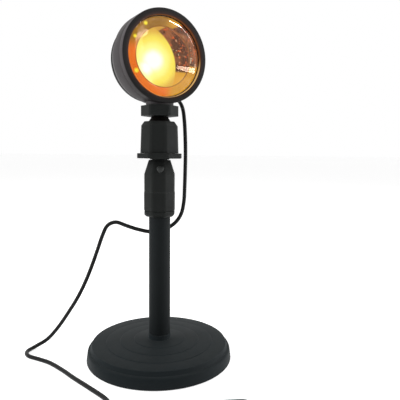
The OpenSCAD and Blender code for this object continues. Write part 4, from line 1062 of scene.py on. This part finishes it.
def rear_cover():
    """Back plate with a rounded rim, a fine groove, a crown of slots, three screw wells and
    the lead's hole."""
    back, floor_a, corner = COVER_BACK, -19.4, 2.2
    outline = [(1.0, floor_a), (27.6, floor_a), (27.6, -14.6), (29.0, -14.6), (29.0, -15.95),
               (30.0, -15.95), (30.1, -16.1)]
    outline += [(30.1 - corner + corner * cos(radians(t)),
                 back + corner - corner * sin(radians(t))) for t in range(0, 91, 10)]
    outline += [(23.6, back), (23.45, back + 0.25), (23.15, back + 0.25), (23.0, back),
                (1.0, back)]
    plate = spun("back_plate", outline, sides=144)
    vent = block("vent", (7.4, 1.8, 4.0), (18.3, 0, back))
    round_edges(vent, lambda a, b: abs(a.z - b.z) > 1, 0.85, 5)
    carve(plate, spread_round(vent, 16, 11.25))
    well = spun("screw_well", [
        (1.9, back - 1), (1.9, back + 1.4), (1.1, back + 1.4), (1.1, back + 3)], sides=32)
    move_by(well, (26.2, 0, 0))
    carve(plate, spread_round(well, 3, 90))
    carve(plate, spread_round(block("key_slot", (2.0, 0.8, 1.5), (12.1, 0, back - 0.25)), 4, 45))
    lead_hole = spun("lead_hole", [(2.95, back - 1), (2.95, floor_a + 1)], sides=48)
    move_by(lead_hole, (0, -EXIT_DROP, 0))
    carve(plate, lead_hole)
    settle(plate, "head", "rear_cover", place=ON_HEAD)


def strain_relief():
    """Collar and ribbed cone that the lead leaves by."""
    foot, tip, foot_r, tip_r = -2.4, -14.8, 2.9, 1.95
    def cone_r(z):
        return foot_r - (foot - z) * (foot_r - tip_r) / (foot - tip)
    outline = [(0.4, 2.6), (foot_r, 2.6), (foot_r, 0), (3.9, 0), (3.9, -1.9), (3.75, -2.25),
               (3.4, foot), (foot_r, foot)]
    for k in range(4):
        top = foot - 1.1 - 2.2 * k
        low = top - 0.7
        groove_r = foot_r - 0.6 - 0.2 * k
        outline += [(cone_r(top), top), (groove_r, top - 0.12), (groove_r, low + 0.12),
                    (cone_r(low), low)]
    outline += [(tip_r, tip + 0.3), (tip_r - 0.25, tip), (0.4, tip)]
    relief = spun("strain_boot", outline, sides=48)
    settle(relief, "head", "strain_relief",
           place=ON_HEAD @ Matrix.Translation((0, -EXIT_DROP * MM, COVER_BACK * MM)))


head_drum()
front_bezel()
dome_lens()
rear_cover()
strain_relief()


# ---------------- in-line switch and plug

SWITCH_SIZE = (56.0, 20.0, 13.2)
SWITCH_L, _, SWITCH_H = SWITCH_SIZE
SWITCH_PLACE = Matrix.Translation((-2 * MM, SWITCH_Y * MM, 0))
ROCKER_AXIS = 11
ROCKER_REST = radians(-8)
PLUG_END = 19


def soft_block(name, size, plan_r, edge_r):
    """Block along X from the origin, with round corners in plan and softer long edges."""
    height = size[2]
    body = block(name, size, (size[0] / 2, 0, height / 2))
    round_edges(body, lambda a, b: abs(a.z - b.z) > 1, plan_r, 8)
    round_edges(body, lambda a, b: abs(a.z - b.z) < 0.001 and a.z in (0, height), edge_r, 5)
    return body


def cord_boot(length, tip_r, foot_r, bite):
    """Grooved cone round the lead, from its tip at 0 up to its foot."""
    outline = [(0.4, 0), (tip_r - 0.2, 0), (tip_r, 0.25)]
    for k in range(3):
        low = 1.3 + 2.0 * k
        for z, cut in ((low, 0), (low + 0.1, 0.4), (low + 0.6, 0.4), (low + 0.7, 0)):
            outline.append((tip_r + (foot_r - tip_r) * z / length - cut, z))
    outline += [(foot_r, length), (foot_r, length + bite), (0.4, length + bite)]
    boot = spun("cord_boot", outline, sides=40)
    turn_by(boot, Matrix.Rotation(pi / 2, 4, "Y"))
    return boot


def switch_shells():
    """Two half shells with a boot at each end, and a well in the upper one for the rocker."""
    lower = soft_block("switch_lower", SWITCH_SIZE, 6, 2.4)
    trim(lower, (0, 0, SWITCH_AXIS), (0, 0, 1))
    soften(lower, 0.2)
    near = cord_boot(8, 2.0, 2.8, 2.2)
    far = cord_boot(8, 2.0, 2.8, 2.2)
    far.matrix_world = Matrix.Translation((SWITCH_L + 8, 0, SWITCH_AXIS)) @ Matrix.Rotation(
        pi, 4, "Z")
    move_by(near, (-8, 0, SWITCH_AXIS))
    join_into(lower, near, far)
    settle(lower, "base", "switch_base", place=SWITCH_PLACE)

    upper = soft_block("switch_upper", SWITCH_SIZE, 6, 2.4)
    trim(upper, (0, 0, SWITCH_AXIS + 0.1), (0, 0, -1))
    carve(upper, block("rocker_well", (17.7, 9.7, 12.4), (SWITCH_L / 2, 0, SWITCH_H)))
    soften(upper, 0.2)
    settle(upper, "base", "switch_cover", place=SWITCH_PLACE)
    return lower, upper


def switch_rocker():
    """Rocker button with a shallow valley across its top."""
    half, across = 8.4, 9.0
    button = spun("rocker_button", [(half, -across / 2), (half, across / 2)], sides=96)
    turn_by(button, Matrix.Rotation(pi / 2, 4, "X"))
    slope = atan2(1.0, half)
    for side in (-1, 1):
        well = block("valley", (20, 20, 10), (side * 10, 0, 5))
        well.matrix_world = (Matrix.Translation((0, 0, 2.5))
                             @ Matrix.Rotation(-side * slope, 4, "Y"))
        carve(button, well)
    trim(button, (0, 0, -2.7), (0, 0, -1))
    soften(button, 0.35, segments=3)
    return settle(
        button, "rocker", "switch_rocker", material=rocker_skin,
        place=SWITCH_PLACE @ Matrix.Translation((SWITCH_L / 2 * MM, 0, ROCKER_AXIS * MM))
        @ Matrix.Rotation(ROCKER_REST, 4, "Y"))


def plug_grip():
    """Moulded grip with finger grooves, its socket for the plug and its boot."""
    length, across, height = size = (22.0, 15.0, 8.0)
    grip = soft_block("plug_body", size, 3, 2.2)
    carve(grip, block("plug_socket", (8, 12.1, 4.6), (length, 0, height / 2)))
    for side in (-1, 1):
        for k in range(4):
            groove = spun("finger_groove", [(0.5, -1), (0.5, height + 1)], sides=20)
            move_by(groove, (length / 2 - 4.5 + 3 * k, side * across / 2, 0))
            carve(grip, groove)
    boot = cord_boot(7, 2.0, 3.1, 2.5)
    move_by(boot, (-7, 0, height / 2))
    join_into(grip, boot)
    return settle(grip, "base", "plug_grip",
                  place=Matrix.Translation((PLUG_END * MM, PLUG_Y * MM, 0))
                  @ Matrix.Rotation(pi, 4, "Z"))


declare_lead("lead_table", "object", "loose", "cord_table",
             with_pieces=[*switch_shells(), switch_rocker(), "switch_spring"])
declare_lead("lead_coil", "plug", "coiled", "cord_coil", "cord_tail",
             with_pieces=["coil_tie", plug_grip(), "plug_shell", "plug_tongue"])


# ---------------- floor, world and lamps

WHITE = (1.0, 1.0, 1.0, 1.0)
FLOOR_GLOW = 0.7
SKY_DIM, SKY_WHITE = 0.3, 1.0


def backdrop_rays(tree):
    """1 for rays from the camera, off a mirror or through glass, and 0 for all others."""
    rays = add_node(tree, "LightPath").outputs
    seen = math_node(tree, "MAXIMUM", rays["Is Camera Ray"], rays["Is Glossy Ray"])
    return math_node(tree, "MAXIMUM", seen, rays["Is Transmission Ray"])


def studio_floor():
    """Pale floor: white to the camera and in reflections, and it keeps shadows."""
    finish = Finish("studio_floor")
    finish.skin(Base_Color=(0.8, 0.8, 0.8, 1.0), Roughness=0.9, Specular_IOR_Level=0.1,
                Emission_Color=WHITE,
                Emission_Strength=product(finish.tree, backdrop_rays(finish.tree),
                                          FLOOR_GLOW))
    bpy.ops.mesh.primitive_grid_add(x_subdivisions=8, y_subdivisions=8, size=40)
    floor = bpy.context.active_object
    floor.name = "studio_floor"
    floor.data.materials.append(finish.material)


def studio_world():
    """White to the camera, in reflections and through glass, and a dimmer even light."""
    world = bpy.data.worlds.new("studio")
    bpy.context.scene.world = world
    world.use_nodes = True
    tree = world.node_tree
    tree.nodes.clear()
    level = add_node(tree, "MapRange", Value=backdrop_rays(tree), To_Min=SKY_DIM,
                     To_Max=SKY_WHITE)
    sky = add_node(tree, "Background", Color=WHITE, Strength=level.outputs[0])
    add_node(tree, "OutputWorld", Surface=sky.outputs[0])


studio_floor()
studio_world()


def softbox(name, place, aim, width, height, watts, along=None):
    """Rectangular lamp that faces aim; its width runs along the direction along."""
    lamp = bpy.data.lights.new(name, "AREA")
    lamp.shape = "RECTANGLE"
    lamp.size, lamp.size_y, lamp.energy = width, height, watts
    holder = bpy.data.objects.new(name, lamp)
    back = (Vector(place) - Vector(aim)).normalized()
    side = Vector(along or Vector((0, 0, 1)).cross(back))
    side = (side - side.dot(back) * back).normalized()
    turn = Matrix((side, back.cross(side), back)).transposed().to_4x4()
    holder.matrix_world = Matrix.Translation(place) @ turn
    link(holder)
    return holder


def strip_lamp(name, start, end, width, watts):
    """Narrow lamp between two places given from the middle of the head."""
    head = Vector((0, 0, HEAD_Z * MM))
    start, end = Vector(start), Vector(end)
    softbox(name, head + (start + end) / 2, head, (end - start).length, width, watts,
            end - start)


for name, place, aim, width, height, watts in (
        ("left_softbox", (-1.0, -0.15, 0.5), (0, 0, 0.12), 0.6, 0.9, 13.0),
        ("right_softbox", (1.0, -0.1, 0.45), (0, 0, 0.12), 0.5, 0.9, 4.5),
        ("top_softbox", (0, 0.1, 1.2), (0, 0, 0.1), 0.9, 0.9, 3.0)):
    softbox(name, place, aim, width, height, watts).visible_glossy = False

# Strip lamps whose reflections lie on the lens: a level streak, and an arc near its edge
strip_lamp("level_strip", (1.0, -0.43, -0.05), (1.0, 0.24, 0.0), 0.09, 2.8)
strip_lamp("arc_strip_high", (0.585, -0.096, 0.805), (0.732, 0.112, 0.672), 0.035, 1.3)
strip_lamp("arc_strip_low", (0.732, 0.112, 0.672), (0.883, 0.265, 0.386), 0.02, 0.2)
